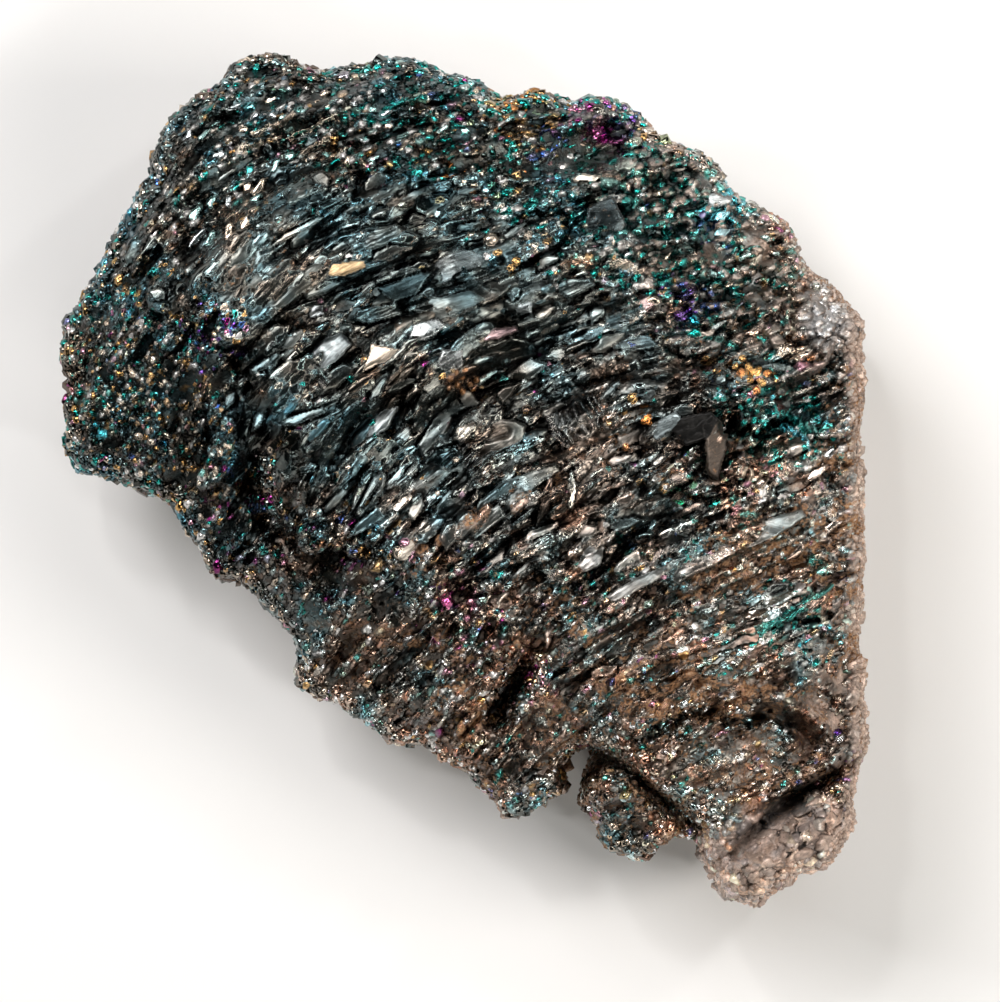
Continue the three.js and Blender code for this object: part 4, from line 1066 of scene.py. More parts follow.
def paint(p, n, ids, small, hollow=0.4, low=0.4):
    """Colour, dust, roughness and dullness of points p with outward normals n, that belong to the crystals ids. small says
    how readily a film of colour shows on each, from 0 to 1, hollow how deep a point lies between its neighbours, and low
    the same for the whole crystal."""
    px, py = dots(p[:, 0], p[:, 1], p[:, 2])
    count = len(p)
    upper = step(-0.35, 0.25, n[:, 2])
    warm = step(-260, 240, (px - 520) * 0.55 + (py - 560)) * 0.75
    warm = np.maximum(warm, 0.55 * step(560, 700, px - 0.3 * py) * (1 - step(330, 420, py)))
    warm = np.maximum(warm, 0.6 * (1 - upper))
    rust = np.zeros(count)
    for k, (x, y, rad, much) in enumerate(RUST):
        near = np.hypot(px - x, py - y) < rad * 2.2
        if near.any():
            rust[near] = np.maximum(rust[near], much * spread(px[near], py[near], x, y, rad, 200 + k))
    warm = np.clip(np.maximum(warm, rust), 0, 1)
    base = mix(COOL, WARM, warm[:, None]) * np.exp((0.20 + 0.22 * small) * bell(ids, 20))[:, None]
    base = base * (1 + ((0.09 + 0.08 * small) * bell(ids, 60))[:, None] * np.array([1.0, -0.05, -0.5]))
    odd = 20 * noise3(px / 10, py / 10, 0.0, 1.6, 107)
    lobe = (1 - step(205, 262, px + 0.16 * (py - 400) + 0.6 * odd)) * step(270, 345, py + odd + 0.25 * (px - 160))
    # the left lobe is painted a quarter darker, as shade on a side that faces away from the light
    much = (0.76 - 0.20 * small) * (1 - 0.25 * lobe)
    for x, y, rad, more in LIGHTER:
        much = much * (1 + more * (1 - step(0.3, 1.3, np.hypot(px - x, py - y) / rad)))
    base = base * much[:, None]
    # the tone drifts between teal and brown from place to place
    drift = (0.16 + 0.16 * small) * noise3(px / 10, py / 10, 0.0, 2.6, 92) + (0.08 + 0.06 * small) * noise3(px / 10, py / 10, 0.0, 1.2, 93)
    base = base * (1 + 1.35 * drift[:, None] * np.array([1.0, -0.08, -0.55]))
    # about one grain in six is bright and bare, and a few of the small ones are painted pale and dull, as glints that
    # shine from every side
    rims = np.maximum(step(300, 220, py) * np.ones(count), step(0.0, 1.0, lobe))
    bright = (chance(ids, 62) < 0.16 + 0.08 * rims) * small
    base = base * (1 + 2.2 * bright)[:, None]
    more = np.zeros(count)
    for x, y, rad, share in PAINTED_GLINTS:
        more = np.maximum(more, share * (1 - step(0.4, 1.3, np.hypot(px - x, py - y) / rad)))
    painted_glint = (chance(ids, 64) < 0.018 + 0.050 * rims + more) * (small > 0.6) * (low < 0.5)
    base = mix(base, np.array([0.88, 0.85, 0.81]), 0.9 * painted_glint[:, None])
    # brown lumps of the upper right, dull where they stand out
    lump = step(560, 650, px - 0.2 * (py - 150)) * (1 - step(300, 400, py - 0.3 * (px - 700))) * upper
    dull = 0.42 * lump * (chance(ids, 29) < 0.45) * (1 - 0.8 * hollow) * (0.4 + 0.6 * small)
    base = mix(base, np.array([0.34, 0.255, 0.21]), np.minimum(1.7 * dull, 1)[:, None])
    base = mix(base, np.array([0.54, 0.42, 0.34]) * np.exp(0.3 * bell(ids, 66))[:, None], (0.55 * lump * (1 - hollow) * small)[:, None])
    base = mix(base, np.array([0.03, 0.34, 0.31]), (0.55 * lump * step(0.45, 0.75, hollow) * step(0, 1, noise3(px / 10, py / 10, 0.0, 1.8, 67) + 0.3))[:, None])
    keep = np.ones(count)
    tint = np.zeros((count, 3))
    for k, (x, y, rad, name, share) in enumerate(FILMS):
        near = np.hypot(px - x, py - y) < rad * 2.2
        if not near.any():
            continue
        w = np.zeros(count)
        w[near] = share * spread(px[near], py[near], x, y, rad, 300 + 2 * k)
        w *= 0.15 + 0.85 * upper
        w = (chance(ids, 30 + 5 * k) < w * small * small * FILM_SHARE * (1 + 0.45 * step(330, 250, py)) * np.clip(2.9 * low - 0.35, 0.3, 2.0)) * (0.45 + 0.55 * chance(ids, 31 + 5 * k))
        colour = np.array(TINTS[name]) * ((0.72 + 0.24 * step(540, 640, px)) * np.exp(0.2 * bell(ids, 32 + 5 * k)))[:, None]
        tint = tint * (1 - w[:, None]) + colour * w[:, None]
        keep = keep * (1 - w)
    dull = dull * keep
    colour = base * keep[:, None] + tint
    # stray films of colour all over
    for k, (name, share) in enumerate((("teal", 0.05), ("gold", 0.035), ("pink", 0.015), ("magenta", 0.006), ("blue", 0.006), ("cream", 0.06))):
        w = (chance(ids, 400 + 2 * k) < share * small) * (small > 0.6) * (0.25 + 0.6 * chance(ids, 401 + 2 * k))
        colour = mix(colour, np.array(TINTS[name]), w[:, None])
    # the pale crust at the lower right, and the whitish place at the end of the upper right side, a painted highlight
    # of light glaring off that end
    a = math.radians(20)
    u, v = (px - 772) * math.cos(a) - (py - 856) * math.sin(a), (px - 772) * math.sin(a) + (py - 856) * math.cos(a)
    crust = 1 - step(0.8, 1.2, np.hypot(u / 98, v / 46) + 0.12 * noise3(px / 10, py / 10, 0.0, 1.0, 91))
    pale = 1 - step(0.5, 1.25, np.hypot((px - 828) / 30, (py - 320) / 40))
    knob = np.array([0.63, 0.475, 0.39]) * np.exp(0.34 * bell(ids, 28))[:, None] * (1 + 0.06 * bell(ids, 65)[:, None] * np.array([1.0, -0.1, -1.2]))
    colour = mix(colour, knob, 0.85 * crust[:, None])
    colour = mix(colour, np.array([0.93, 0.88, 0.84]) * np.exp(0.36 * bell(ids, 28))[:, None], 0.9 * pale[:, None])
    # the tan skin of the straight right side, and everything that faces down
    right = step(37.0, 38.3, p[:, 0]) * step(-36, -32, p[:, 1]) * (1 - step(16.5, 19, p[:, 1]))
    right = np.maximum(right, step(0.35, 0.75, n[:, 0]) * step(31, 36, p[:, 0]))
    colour = mix(colour, np.array([0.52, 0.385, 0.305]) * np.exp(0.22 * bell(ids, 28))[:, None], 0.9 * right[:, None])
    # painted shade: points that lie deep between their neighbours are darkened, and those in the hollows of the crust
    # more
    colour = colour * (1 - 0.85 * step(0.42, 0.95, hollow) * np.ones(count))[:, None] * (1 - 0.5 * crust * step(0.45, 0.75, hollow))[:, None]
    # painted shade: the colour in each of these hollows is darkened by up to 85%
    for x, y, rx, ry, tilt in BLACK:
        a = math.radians(tilt)
        u, v = (px - x) * math.cos(a) - (py - y) * math.sin(a), (px - x) * math.sin(a) + (py - y) * math.cos(a)
        near = (np.abs(u) < 2 * rx) & (np.abs(v) < 2 * ry + 4) & (p[:, 2] > 12)
        d = np.hypot(u[near] / rx, v[near] / ry) + 0.25 * noise3(px[near] / 10, py[near] / 10, 0.0, 0.9, 99)
        colour[near] *= (1 - 0.85 * (1 - step(0.6, 1.25, d)))[:, None]
    dull = np.clip(np.maximum.reduce([dull, 0.30 * painted_glint, 0.66 * crust, 0.22 * pale, 0.95 * right]), 0, 1)
    dust = np.clip(rust * (0.25 + 0.75 * chance(ids, 63)) + right * 0.25 + 0.3 * (1 - upper) + (hollow - 0.4) * 0.5 * warm, 0, 1)
    dust = dust * (1 - 0.5 * crust) * (1 - 0.8 * np.maximum(bright, painted_glint))
    rough = (0.24 - 0.09 * small + 0.06 * warm + 0.30 * right + 0.18 * crust) * np.exp(0.28 * bell(ids, 24))
    return np.clip(colour, 0.004, 0.95), dust, np.clip(rough + 0.25 * dull, 0.08, 0.85), dull


# ---------------------------------------------------------------- meshes
pieces = []


def build(name, verts, faces, colour, dust, rough, dull, smooth=None, uv=None, normals=None, run=None):
    """Makes a mesh from vertices in mm and a list of face arrays (each all of one number of corners)."""
    me = bpy.data.meshes.new(name)
    sizes = np.concatenate([np.full(len(f), f.shape[1]) for f in faces])
    loops = np.concatenate([f.ravel() for f in faces]).astype(np.int32)
    starts = np.concatenate([[0], np.cumsum(sizes)[:-1]]).astype(np.int32)
    me.vertices.add(len(verts))
    me.vertices.foreach_set("co", (verts / 1000.0).astype(np.float32).ravel())
    me.loops.add(len(loops))
    me.loops.foreach_set("vertex_index", loops)
    me.polygons.add(len(sizes))
    me.polygons.foreach_set("loop_start", starts)
    me.update(calc_edges=True)
    me.polygons.foreach_set("use_smooth", np.zeros(len(sizes), bool) if smooth is None else smooth)
    rgba = np.ones((len(verts), 4), np.float32)
    rgba[:, :3] = colour
    me.color_attributes.new(name="tint", type="FLOAT_COLOR", domain="POINT").data.foreach_set("color", rgba.ravel())
    me.attributes.new("dust", "FLOAT", "POINT").data.foreach_set("value", dust.astype(np.float32))
    me.attributes.new("rough", "FLOAT", "POINT").data.foreach_set("value", rough.astype(np.float32))
    me.attributes.new("dull", "FLOAT", "POINT").data.foreach_set("value", dull.astype(np.float32))
    run = verts / 1000.0 if run is None else run
    me.attributes.new("run", "FLOAT_VECTOR", "POINT").data.foreach_set("vector", run.astype(np.float32).ravel())
    if uv is not None:
        me.uv_layers.new(name="OFBake").data.foreach_set("uv", uv.astype(np.float32).ravel())
    me.validate(clean_customdata=False)
    me.update()
    if normals is not None:
        me.normals_split_custom_set(normals.astype(np.float32))
    ob = bpy.data.objects.new(name, me)
    bpy.context.scene.collection.objects.link(ob)
    ob["triangles"] = int((sizes - 2).sum())
    print("PIECE", name, "triangles", ob["triangles"], flush=True)
    pieces.append(ob)
    return ob


def flat_uv(verts, faces, crystals):
    """A map with a small square of its own for every face. verts is (crystals, corners, 3), faces a list of
    (faces per crystal, corners) index arrays. Returns the loops' places in the order that Crop.make writes them."""
    per = sum(len(f) for f in faces)
    side = int(math.ceil(math.sqrt(crystals)))
    sub = int(math.ceil(math.sqrt(per)))
    at = np.arange(crystals)
    ox, oy = (at % side) / side, (at // side) / side
    blocks, k = [], 0
    for f in faces:
        out = np.zeros((crystals, len(f), f.shape[1], 2))
        for m, corners in enumerate(f):
            c = verts[:, corners]
            e = unit(c[:, 1] - c[:, 0])
            nrm = unit(np.cross(c[:, 1] - c[:, 0], c[:, 2] - c[:, 0]))
            g = np.cross(nrm, e)
            u = ((c - c[:, :1]) * e[:, None]).sum(-1)
            v = ((c - c[:, :1]) * g[:, None]).sum(-1)
            for w, axis in ((u, 0), (v, 1)):
                low, high = w.min(1, keepdims=True), w.max(1, keepdims=True)
                out[:, m, :, axis] = (w - low) / np.maximum(high - low, 1e-9)
            sx, sy = k % sub, k // sub
            out[:, m, :, 0] = ox[:, None] + (sx + 0.12 + 0.76 * out[:, m, :, 0]) / sub / side
            out[:, m, :, 1] = oy[:, None] + (sy + 0.12 + 0.76 * out[:, m, :, 1]) / sub / side
            k += 1
        blocks.append(out.reshape(-1, 2))
    return np.concatenate(blocks)


def inside_box(v):
    """True for each crystal that stays in the part's box and over the surface it stands on."""
    lo = np.array(CAD_LO) * 1000 + (-0.6, -0.6, 0.05)
    hi = np.array(CAD_HI) * 1000 + (0.6, 0.6, 0.35)
    return ((v > lo) & (v < hi)).all((1, 2))


class Crop:
    """Crystals of one make, to be joined into one piece."""

    def __init__(self):
        self.parts = []

    def add(self, verts, faces, p, n, seed, smooth=False, rough=1.0, tone=1.0, small=1.0):
        ok = inside_box(verts)
        ids = seed * 1000003 + np.arange(len(p))
        verts, p, n, ids = verts[ok], p[ok], n[ok], ids[ok]
        colour, dust, rgh, dull = paint(p, n, ids, np.full(len(p), small))
        self.parts.append((verts, faces, colour * tone, dust, rgh * rough, dull, smooth))

    def make(self, name):
        v_all, c_all, d_all, r_all, m_all, by_size, base = [], [], [], [], [], {}, 0
        total = sum(len(p[0]) for p in self.parts)
        done = 0
        for verts, faces, colour, dust, rough, dull, smooth in self.parts:
            n, m = verts.shape[:2]
            uvs = flat_uv(verts, faces, n)
            # each make of crystal gets its own band of the map
            uvs = uvs * (1, n / total) + (0, done / total)
            done += n
            v_all.append(verts.reshape(-1, 3))
            c_all.append(np.repeat(colour, m, 0))
            d_all.append(np.repeat(dust, m))
            r_all.append(np.repeat(rough, m))
            m_all.append(np.repeat(dull, m))
            at = 0
            for f in faces:
                idx = (f[None] + base + (np.arange(n) * m)[:, None, None]).reshape(-1, f.shape[1])
                loops = n * f.size
                by_size.setdefault(f.shape[1], []).append((idx, uvs[at : at + loops], np.full(len(idx), smooth)))
                at += loops
            base += n * m
        faces = [np.concatenate([x[0] for x in by_size[k]]) for k in sorted(by_size)]
        uv = np.concatenate([np.concatenate([x[1] for x in by_size[k]]) for k in sorted(by_size)])
        smooth = np.concatenate([np.concatenate([x[2] for x in by_size[k]]) for k in sorted(by_size)])
        return build(
            name, np.concatenate(v_all), faces, np.clip(np.concatenate(c_all), 0, 1), np.concatenate(d_all), np.concatenate(r_all),
            np.concatenate(m_all), smooth, uv,
        )


def rings(count, around):
    """Faces of a closed prism of rings stacked from bottom to top."""
    quads = [
        [k * around + j, k * around + (j + 1) % around, (k + 1) * around + (j + 1) % around, (k + 1) * around + j]
        for k in range(count - 1)
        for j in range(around)
    ]
    bottom = [list(range(around))[::-1]]
    top_ = [[(count - 1) * around + j for j in range(around)]]
    return [np.array(quads), np.array(bottom + top_)]


def tangent_frame(p, n, seed, yaw, lean):
    """Axes for crystals at p on a surface with normals n: the long one along the growth, turned by up to yaw, and all of it
    leaning by about lean."""
    r = np.random.default_rng(seed)
    f = unit(flow(p[:, 0], p[:, 1]))
    f3 = np.concatenate([f, np.zeros((len(p), 1))], 1)
    steep = np.abs((f3 * n).sum(1)) > 0.97
    f3[steep] = (0, 0, 1)
    u = unit(f3 - (f3 * n).sum(1, keepdims=True) * n)
    v = np.cross(n, u)
    a = r.normal(0, yaw, len(p))[:, None]
    u, v = u * np.cos(a) + v * np.sin(a), v * np.cos(a) - u * np.sin(a)
    w = n
    a = r.normal(0, lean, len(p))[:, None]
    u, w = u * np.cos(a) + w * np.sin(a), w * np.cos(a) - u * np.sin(a)
    a = r.normal(0, lean, len(p))[:, None]
    v, w = v * np.cos(a) + w * np.sin(a), w * np.cos(a) - v * np.sin(a)
    return u, v, w


# ---------------------------------------------------------------- the body
body_n = vertex_normals(body_v, body_q)
centres = body_v[body_q].mean(1)
centre_n = unit(quad_normals(body_v, body_q))
areas = 0.5 * np.linalg.norm(quad_normals(body_v, body_q), axis=1)
print("BODY quads", len(body_q), "area mm2", round(areas.sum()), "upper", round(areas[centre_n[:, 2] > 0.2].sum()), flush=True)


def body_uv(v, q, n):
    """Six flat views of the body side by side."""
    axis = np.abs(n).argmax(1)
    way = np.take_along_axis(n, axis[:, None], 1)[:, 0] > 0
    c = v[q]
    out = np.zeros((len(q), 4, 2))
    lo, hi = v.min(0), v.max(0)
    big = (hi - lo).max() * 1.02
    # top and bottom take the lower half, the four sides the upper one
    for k, (ax, pos, cell) in enumerate([(2, True, (0, 0, 0.5)), (2, False, (0.5, 0, 0.5)), (0, True, (0, 0.52, 0.46)), (0, False, (0.5, 0.52, 0.46)), (1, True, (0, 0.75, 0.46)), (1, False, (0.5, 0.75, 0.46))]):
        m = (axis == ax) & (way == pos)
        i, j = [d for d in range(3) if d != ax]
        out[m, :, 0] = cell[0] + 0.01 + (c[m][:, :, i] - lo[i]) / big * cell[2] * 0.96
        out[m, :, 1] = cell[1] + 0.01 + (c[m][:, :, j] - lo[j]) / big * cell[2] * 0.96
    return out.reshape(-1, 2)


ids = np.floor(body_v / 0.7).astype(np.int64) @ np.array([1, 4096, 4096 * 4096]) + 1 << 2
colour, dust, rough, dull = paint(body_v, body_n, ids, np.full(len(body_v), 0.3))
# painted shade: the body shows only deep in the gaps between the crystals on it, so its colour is darkened, to 0.42 on
# the metal-like parts and 0.85 on the dull ones
body = build(
    "crystal_body", body_v, [body_q], colour * mix(0.42, 0.85, dull)[:, None], dust, rough * 1.3, dull, np.ones(len(body_q), bool),
    body_uv(body_v, body_q, centre_n)
)


# ---------------------------------------------------------------- the fine mesh of the upper face
def no_corner_touch(m):
    """Drops cells so that no two meet only at a corner."""
    for _ in range(20):
        a, b, c, d = m[:-1, :-1], m[1:, 1:], m[1:, :-1], m[:-1, 1:]
        bad = (a & b & ~c & ~d) | (c & d & ~a & ~b)
        if not bad.any():
            break
        i, j = np.nonzero(bad)
        m[i, j] = False
        m[i + 1, j] = False
    return m


def crust_at(p):
    """1 on the pale crust at the lower right."""
    px, py = dots(p[:, 0], p[:, 1], p[:, 2])
    a = math.radians(20)
    u, v = (px - 772) * math.cos(a) - (py - 856) * math.sin(a), (px - 772) * math.sin(a) + (py - 856) * math.cos(a)
    return 1 - step(0.8, 1.2, np.hypot(u / 98, v / 46))


def face_mesh(name, cells):
    """One closed slab of the upper face: the fine relief on top, a coarse underside, and walls between them."""
    fi, fj = np.nonzero(np.kron(cells, np.ones((GROUP, GROUP), bool)))
    number = np.full(MX.shape, -1, np.int64)
    for a in (0, 1):
        for b in (0, 1):
            number[fi + a, fj + b] = 0
    vi, vj = np.nonzero(number == 0)
    number[vi, vj] = np.arange(len(vi))
    top_v = np.stack([GX[vi], GY[vj], SKIN_Z[vi, vj]], -1)
    top_q = np.stack([number[fi, fj], number[fi + 1, fj], number[fi + 1, fj + 1], number[fi, fj + 1]], 1)
    # the lowest height near each coarse corner
    padded = np.pad(np.where(KNOWN, SKIN_Z, 99), GROUP, constant_values=99)
    low = np.full((NX // GROUP + 1, NY // GROUP + 1), 99.0)
    for a in range(-GROUP, GROUP + 1):
        for b in range(-GROUP, GROUP + 1):
            low = np.minimum(low, padded[GROUP + a : GROUP + a + NX : GROUP, GROUP + b : GROUP + b + NY : GROUP])
    ci, cj = np.nonzero(cells)
    under = np.full(low.shape, -1, np.int64)
    for a in (0, 1):
        for b in (0, 1):
            under[ci + a, cj + b] = 0
    ui, uj = np.nonzero(under == 0)
    under[ui, uj] = len(top_v) + np.arange(len(ui))
    low_v = np.stack([GX[ui * GROUP], GY[uj * GROUP], np.maximum(low[ui, uj] - 0.8, 4.0)], -1)
    low_q = np.stack([under[ci, cj], under[ci, cj + 1], under[ci + 1, cj + 1], under[ci + 1, cj]], 1)
    walls = []
    padded = np.pad(cells, 1)
    k = np.arange(GROUP + 1)
    for di, dj in ((0, -1), (0, 1), (-1, 0), (1, 0)):
        wi, wj = np.nonzero(cells & ~padded[1 + di : low.shape[0] + di, 1 + dj : low.shape[1] + dj])
        if dj:
            row = wj + (dj > 0)
            rim = number[wi[:, None] * GROUP + k, row[:, None] * GROUP]
            b0, b1 = under[wi, row], under[wi + 1, row]
        else:
            row = wi + (di > 0)
            rim = number[row[:, None] * GROUP, wj[:, None] * GROUP + k]
            b0, b1 = under[row, wj], under[row, wj + 1]
        if (di, dj) in ((0, -1), (1, 0)):
            walls.append(np.concatenate([b0[:, None], b1[:, None], rim[:, ::-1]], 1))
        else:
            walls.append(np.concatenate([b1[:, None], b0[:, None], rim], 1))
    walls = np.concatenate(walls)
    nrm = unit(np.stack([-SLOPE_X[vi, vj], -SLOPE_Y[vi, vj], np.ones(len(vi))], -1))
    colour, dust, rough, dull = paint(top_v, nrm, CRYSTAL[vi, vj], 1 - LARGE[vi, vj], HOLLOW[vi, vj], LOW[vi, vj])
    # dust lies in the creases between the smooth domes
    dust = np.maximum(dust, 0.35 * RUN[vi, vj] * (1 - step(0.05, 0.18, _apart[vi, vj])) * (chance(CRYSTAL[vi, vj], 104) < 0.25))
    hero = HERO[vi, vj]
    for k, (_, _, _, _, name_, much) in enumerate(FACES):
        m = hero == k + 1
        colour[m] = mix(colour[m], np.array(TINTS[name_]), (0.9 if name_ == "black" else 0.6) * much)
        rough[m], dust[m] = 0.27 + 0.05 * (k % 3), 0.12 if name_ == "black" else dust[m] * 0.5
    m = hero == 500
    colour[m] *= np.exp(np.minimum(0.02 + 0.40 * bell(CRYSTAL[vi, vj][m], 110), 0.5))[:, None]
    rough[m], dust[m] = 0.20 + 0.16 * chance(CRYSTAL[vi, vj][m], 111), dust[m] * 0.5
    m = hero == 501
    pick = chance(CRYSTAL[vi, vj][m], 114) + 0.25 * (dots(*top_v[m].T)[0] > 500)
    bits = np.array([TINTS["cream"], TINTS["silver"], TINTS["pale teal"], TINTS["teal"]])[np.clip((pick * 3.2).astype(int), 0, 3)]
    colour[m] = mix(colour[m], bits, 0.72)
    rough[m], dust[m] = 0.24, 0.0
    for k, comb in enumerate(COMBS):
        m = hero == 200 + k
        colour[m] = mix(colour[m], np.array(TINTS[comb[-1]]), {"teal": 0.7, "cyan": 0.7, "cream": 0.6}.get(comb[-1], 0.25))
        dust[m] *= 0.3
    for k, bead in enumerate(BEADS):
        m = hero == 300 + k
        colour[m], dust[m], rough[m], dull[m] = mix(colour[m], np.array(TINTS[bead[3]]), bead[4]), 0.0, 0.25, bead[5]
    # the block's faces: the near-black top is painted shade, the right face is dull brown and the left one grey
    for k, c, q, d in ((81, (0.010, 0.009, 0.008), 0.25, 0.03), (82, (0.105, 0.080, 0.062), 0.35, 0.22), (83, (0.17, 0.20, 0.20), 0.1, 0.03)):
        m = hero == k
        colour[m], dull[m], dust[m], rough[m] = c, q, d, 0.36
    # the steep sides of the grains lie in their neighbours' shade and stay dark
    bright = np.maximum(crust_at(top_v), step(37.0, 38.3, top_v[:, 0]))
    colour *= (1 - 0.70 * step(0.85, 1.9, STEEP[vi, vj]) * (1 - 0.6 * bright))[:, None]
    turn, own = TURN[vi, vj], CRYSTAL[vi, vj]
    lie = np.stack(
        [
            (top_v[:, 0] * np.cos(turn) + top_v[:, 1] * np.sin(turn)) * 0.13,
            -top_v[:, 0] * np.sin(turn) + top_v[:, 1] * np.cos(turn),
            90 * chance(own, 70),
        ],
        -1,
    ) / 1000.0
    extra = len(low_v)
    verts = np.concatenate([top_v, low_v])
    lie = np.concatenate([lie, low_v / 1000.0])
    colour = np.concatenate([colour, np.full((extra, 3), 0.05)])
    dust, rough = np.concatenate([dust, np.zeros(extra)]), np.concatenate([rough, np.full(extra, 0.4)])
    dull = np.concatenate([dull, np.zeros(extra)])
    lo_, hi_ = verts[:, :2].min(0), verts[:, :2].max(0)
    flat = lambda q: (verts[q][..., :2] - lo_) / (hi_ - lo_)
    uv_top = flat(top_q).reshape(-1, 2) * (0.98, 0.74) + (0.01, 0.01)
    uv_low = flat(low_q).reshape(-1, 2) * (0.46, 0.22) + (0.01, 0.77)
    side = int(math.ceil(math.sqrt(len(walls))))
    at = np.arange(len(walls))
    wall = verts[walls]
    run = np.linalg.norm(wall[..., :2] - wall[:, :1, :2], axis=-1)
    run = run / run.max(1, keepdims=True)
    rise = wall[..., 2] - wall[..., 2].min(1, keepdims=True)
    rise = rise / np.maximum(rise.max(1, keepdims=True), 1e-6)
    uv_wall = np.stack([(at % side)[:, None] + 0.1 + 0.8 * run, (at // side)[:, None] + 0.1 + 0.8 * rise], -1).reshape(-1, 2)
    uv_wall = uv_wall / side * (0.48, 0.22) + (0.51, 0.77)
    smooth = np.concatenate([np.ones(len(top_q), bool), np.zeros(len(low_q) + len(walls), bool)])
    # normals come from the whole relief, so that the slabs meet without a seam
    low_n = np.tile([0.0, 0.0, -1.0], (low_q.size, 1))
    wall_n = unit(np.cross(wall[:, 1] - wall[:, 0], wall[:, 2] - wall[:, 0]))
    loops_n = np.concatenate([nrm[top_q.ravel()], low_n, np.repeat(wall_n, walls.shape[1], 0)])
    uv = np.concatenate([uv_top, uv_low, uv_wall])
    return build(name, verts, [np.concatenate([top_q, low_q]), walls], colour, dust, rough, dull, smooth, uv, loops_n, lie)


coarse = no_corner_touch(coarse)
total = coarse.sum(1).cumsum()
cuts = [0] + [int(np.searchsorted(total, total[-1] * share)) for share in (0.255, 0.50, 0.75)] + [len(total)]
for name, a, b in zip(("upper_face_left", "upper_face_mid_left", "upper_face_mid_right", "upper_face_right"), cuts[:-1], cuts[1:]):
    cells = np.zeros_like(coarse)
    cells[a:b] = coarse[a:b]
    face_mesh(name, no_corner_touch(cells))


# ---------------------------------------------------------------- grains on the rims, the sides and the underside
def thinned(mask, size, seed):
    """One place on the body per cube of that size."""
    r = np.random.default_rng(seed)
    idx = np.nonzero(mask)[0]
    times = 6  # several tries in each quad, since quads are wider than the grains
    idx = np.repeat(idx, times)[r.permutation(len(idx) * times)]
    c = body_v[body_q[idx]]
    a, b = r.uniform(0, 1, (2, len(idx), 1))
    p = (c[:, 0] * (1 - a) + c[:, 1] * a) * (1 - b) + (c[:, 3] * (1 - a) + c[:, 2] * a) * b
    cell = np.floor(p / size + r.random(3)).astype(np.int64)
    key = (cell[:, 0] * 4096 + cell[:, 1]) * 4096 + cell[:, 2]
    _, first = np.unique(key, return_index=True)
    idx, p = idx[first], p[first]
    n = unit(body_n[body_q[idx]].mean(1))
    return p, n


def grains(p, n, size, aspect, seed, sides=5):
    r = np.random.default_rng(seed)
    count = len(p)
    u, v, w = tangent_frame(p, n, seed + 1, 0.5, 0.35)
    ang = (np.arange(sides)[None] + r.uniform(-0.25, 0.25, (count, sides))) * 2 * math.pi / sides + r.uniform(0, 6.28, (count, 1))
    ex, ey = np.cos(ang), np.sin(ang)
    low, top_ = r.uniform(0.9, 1.15, (count, 1)), r.uniform(0.5, 0.8, (count, 1))
    tall = size * r.uniform(0.6, 1.1, count)
    verts = []
    tilt = r.normal(0, 0.2, (count, 2))
    for s, h in ((low, -0.45), (top_, 1.0)):
        a = ex * s * (size * aspect)[:, None]
        b = ey * s * size[:, None]
        c = h * tall[:, None] + (a * tilt[:, :1] + b * tilt[:, 1:]) * (h > 0)
        verts.append(p[:, None] + u[:, None] * a[..., None] + v[:, None] * b[..., None] + w[:, None] * c[..., None])
    return np.concatenate(verts, 1), rings(2, sides)


covered = sample(COVER * 1.0, centres[:, 0], centres[:, 1]) > 0.5
top_here = sample(np.where(KNOWN, BODY_TOP, 0), centres[:, 0], centres[:, 1])
inner = sample(deep * 1.0, centres[:, 0], centres[:, 1]) > np.where(centres[:, 0] > 35.5, 12, 7.5)
hidden = covered & inner & (centres[:, 2] > top_here - 1.5)
seen = (centre_n[:, 2] > -0.1) & ~hidden
below = ~seen & ~hidden & (centres[:, 2] > 1.0)
p, nn = thinned(seen, 0.63, 121)
rr = np.random.default_rng(120)
size = np.clip(rr.gamma(8.0, 0.037, len(p)) + 0.07, 0.1, 0.6)
tan = step(30, 34, p[:, 0]) * step(0.3, 0.7, nn[:, 0])
size = size * (1 - 0.35 * tan)
print("grains in view", len(p), flush=True)
stretch = 1 + rr.uniform(0, 0.8, len(p))
for k, (name, here) in enumerate((("rim_druse_left", p[:, 0] < -2), ("rim_druse_right", p[:, 0] >= -2))):
    crop = Crop()
    v, faces = grains(p[here], nn[here], size[here], stretch[here], 130 + 20 * k)
    crop.add(v, faces, p[here], nn[here], 131 + 20 * k, smooth=True)
    crop.make(name)
p, nn = thinned(below, 0.95, 151)
rr = np.random.default_rng(152)
size = rr.gamma(9.0, 0.05, len(p)) + 0.1
print("grains below", len(p), flush=True)
crop = Crop()
v, faces = grains(p, nn, size, rr.uniform(1, 1.8, len(p)), 154)
crop.add(v, faces, p, nn, 155, smooth=True)
crop.make("underside_druse_crystals")

# ---------------------------------------------------------------- materials


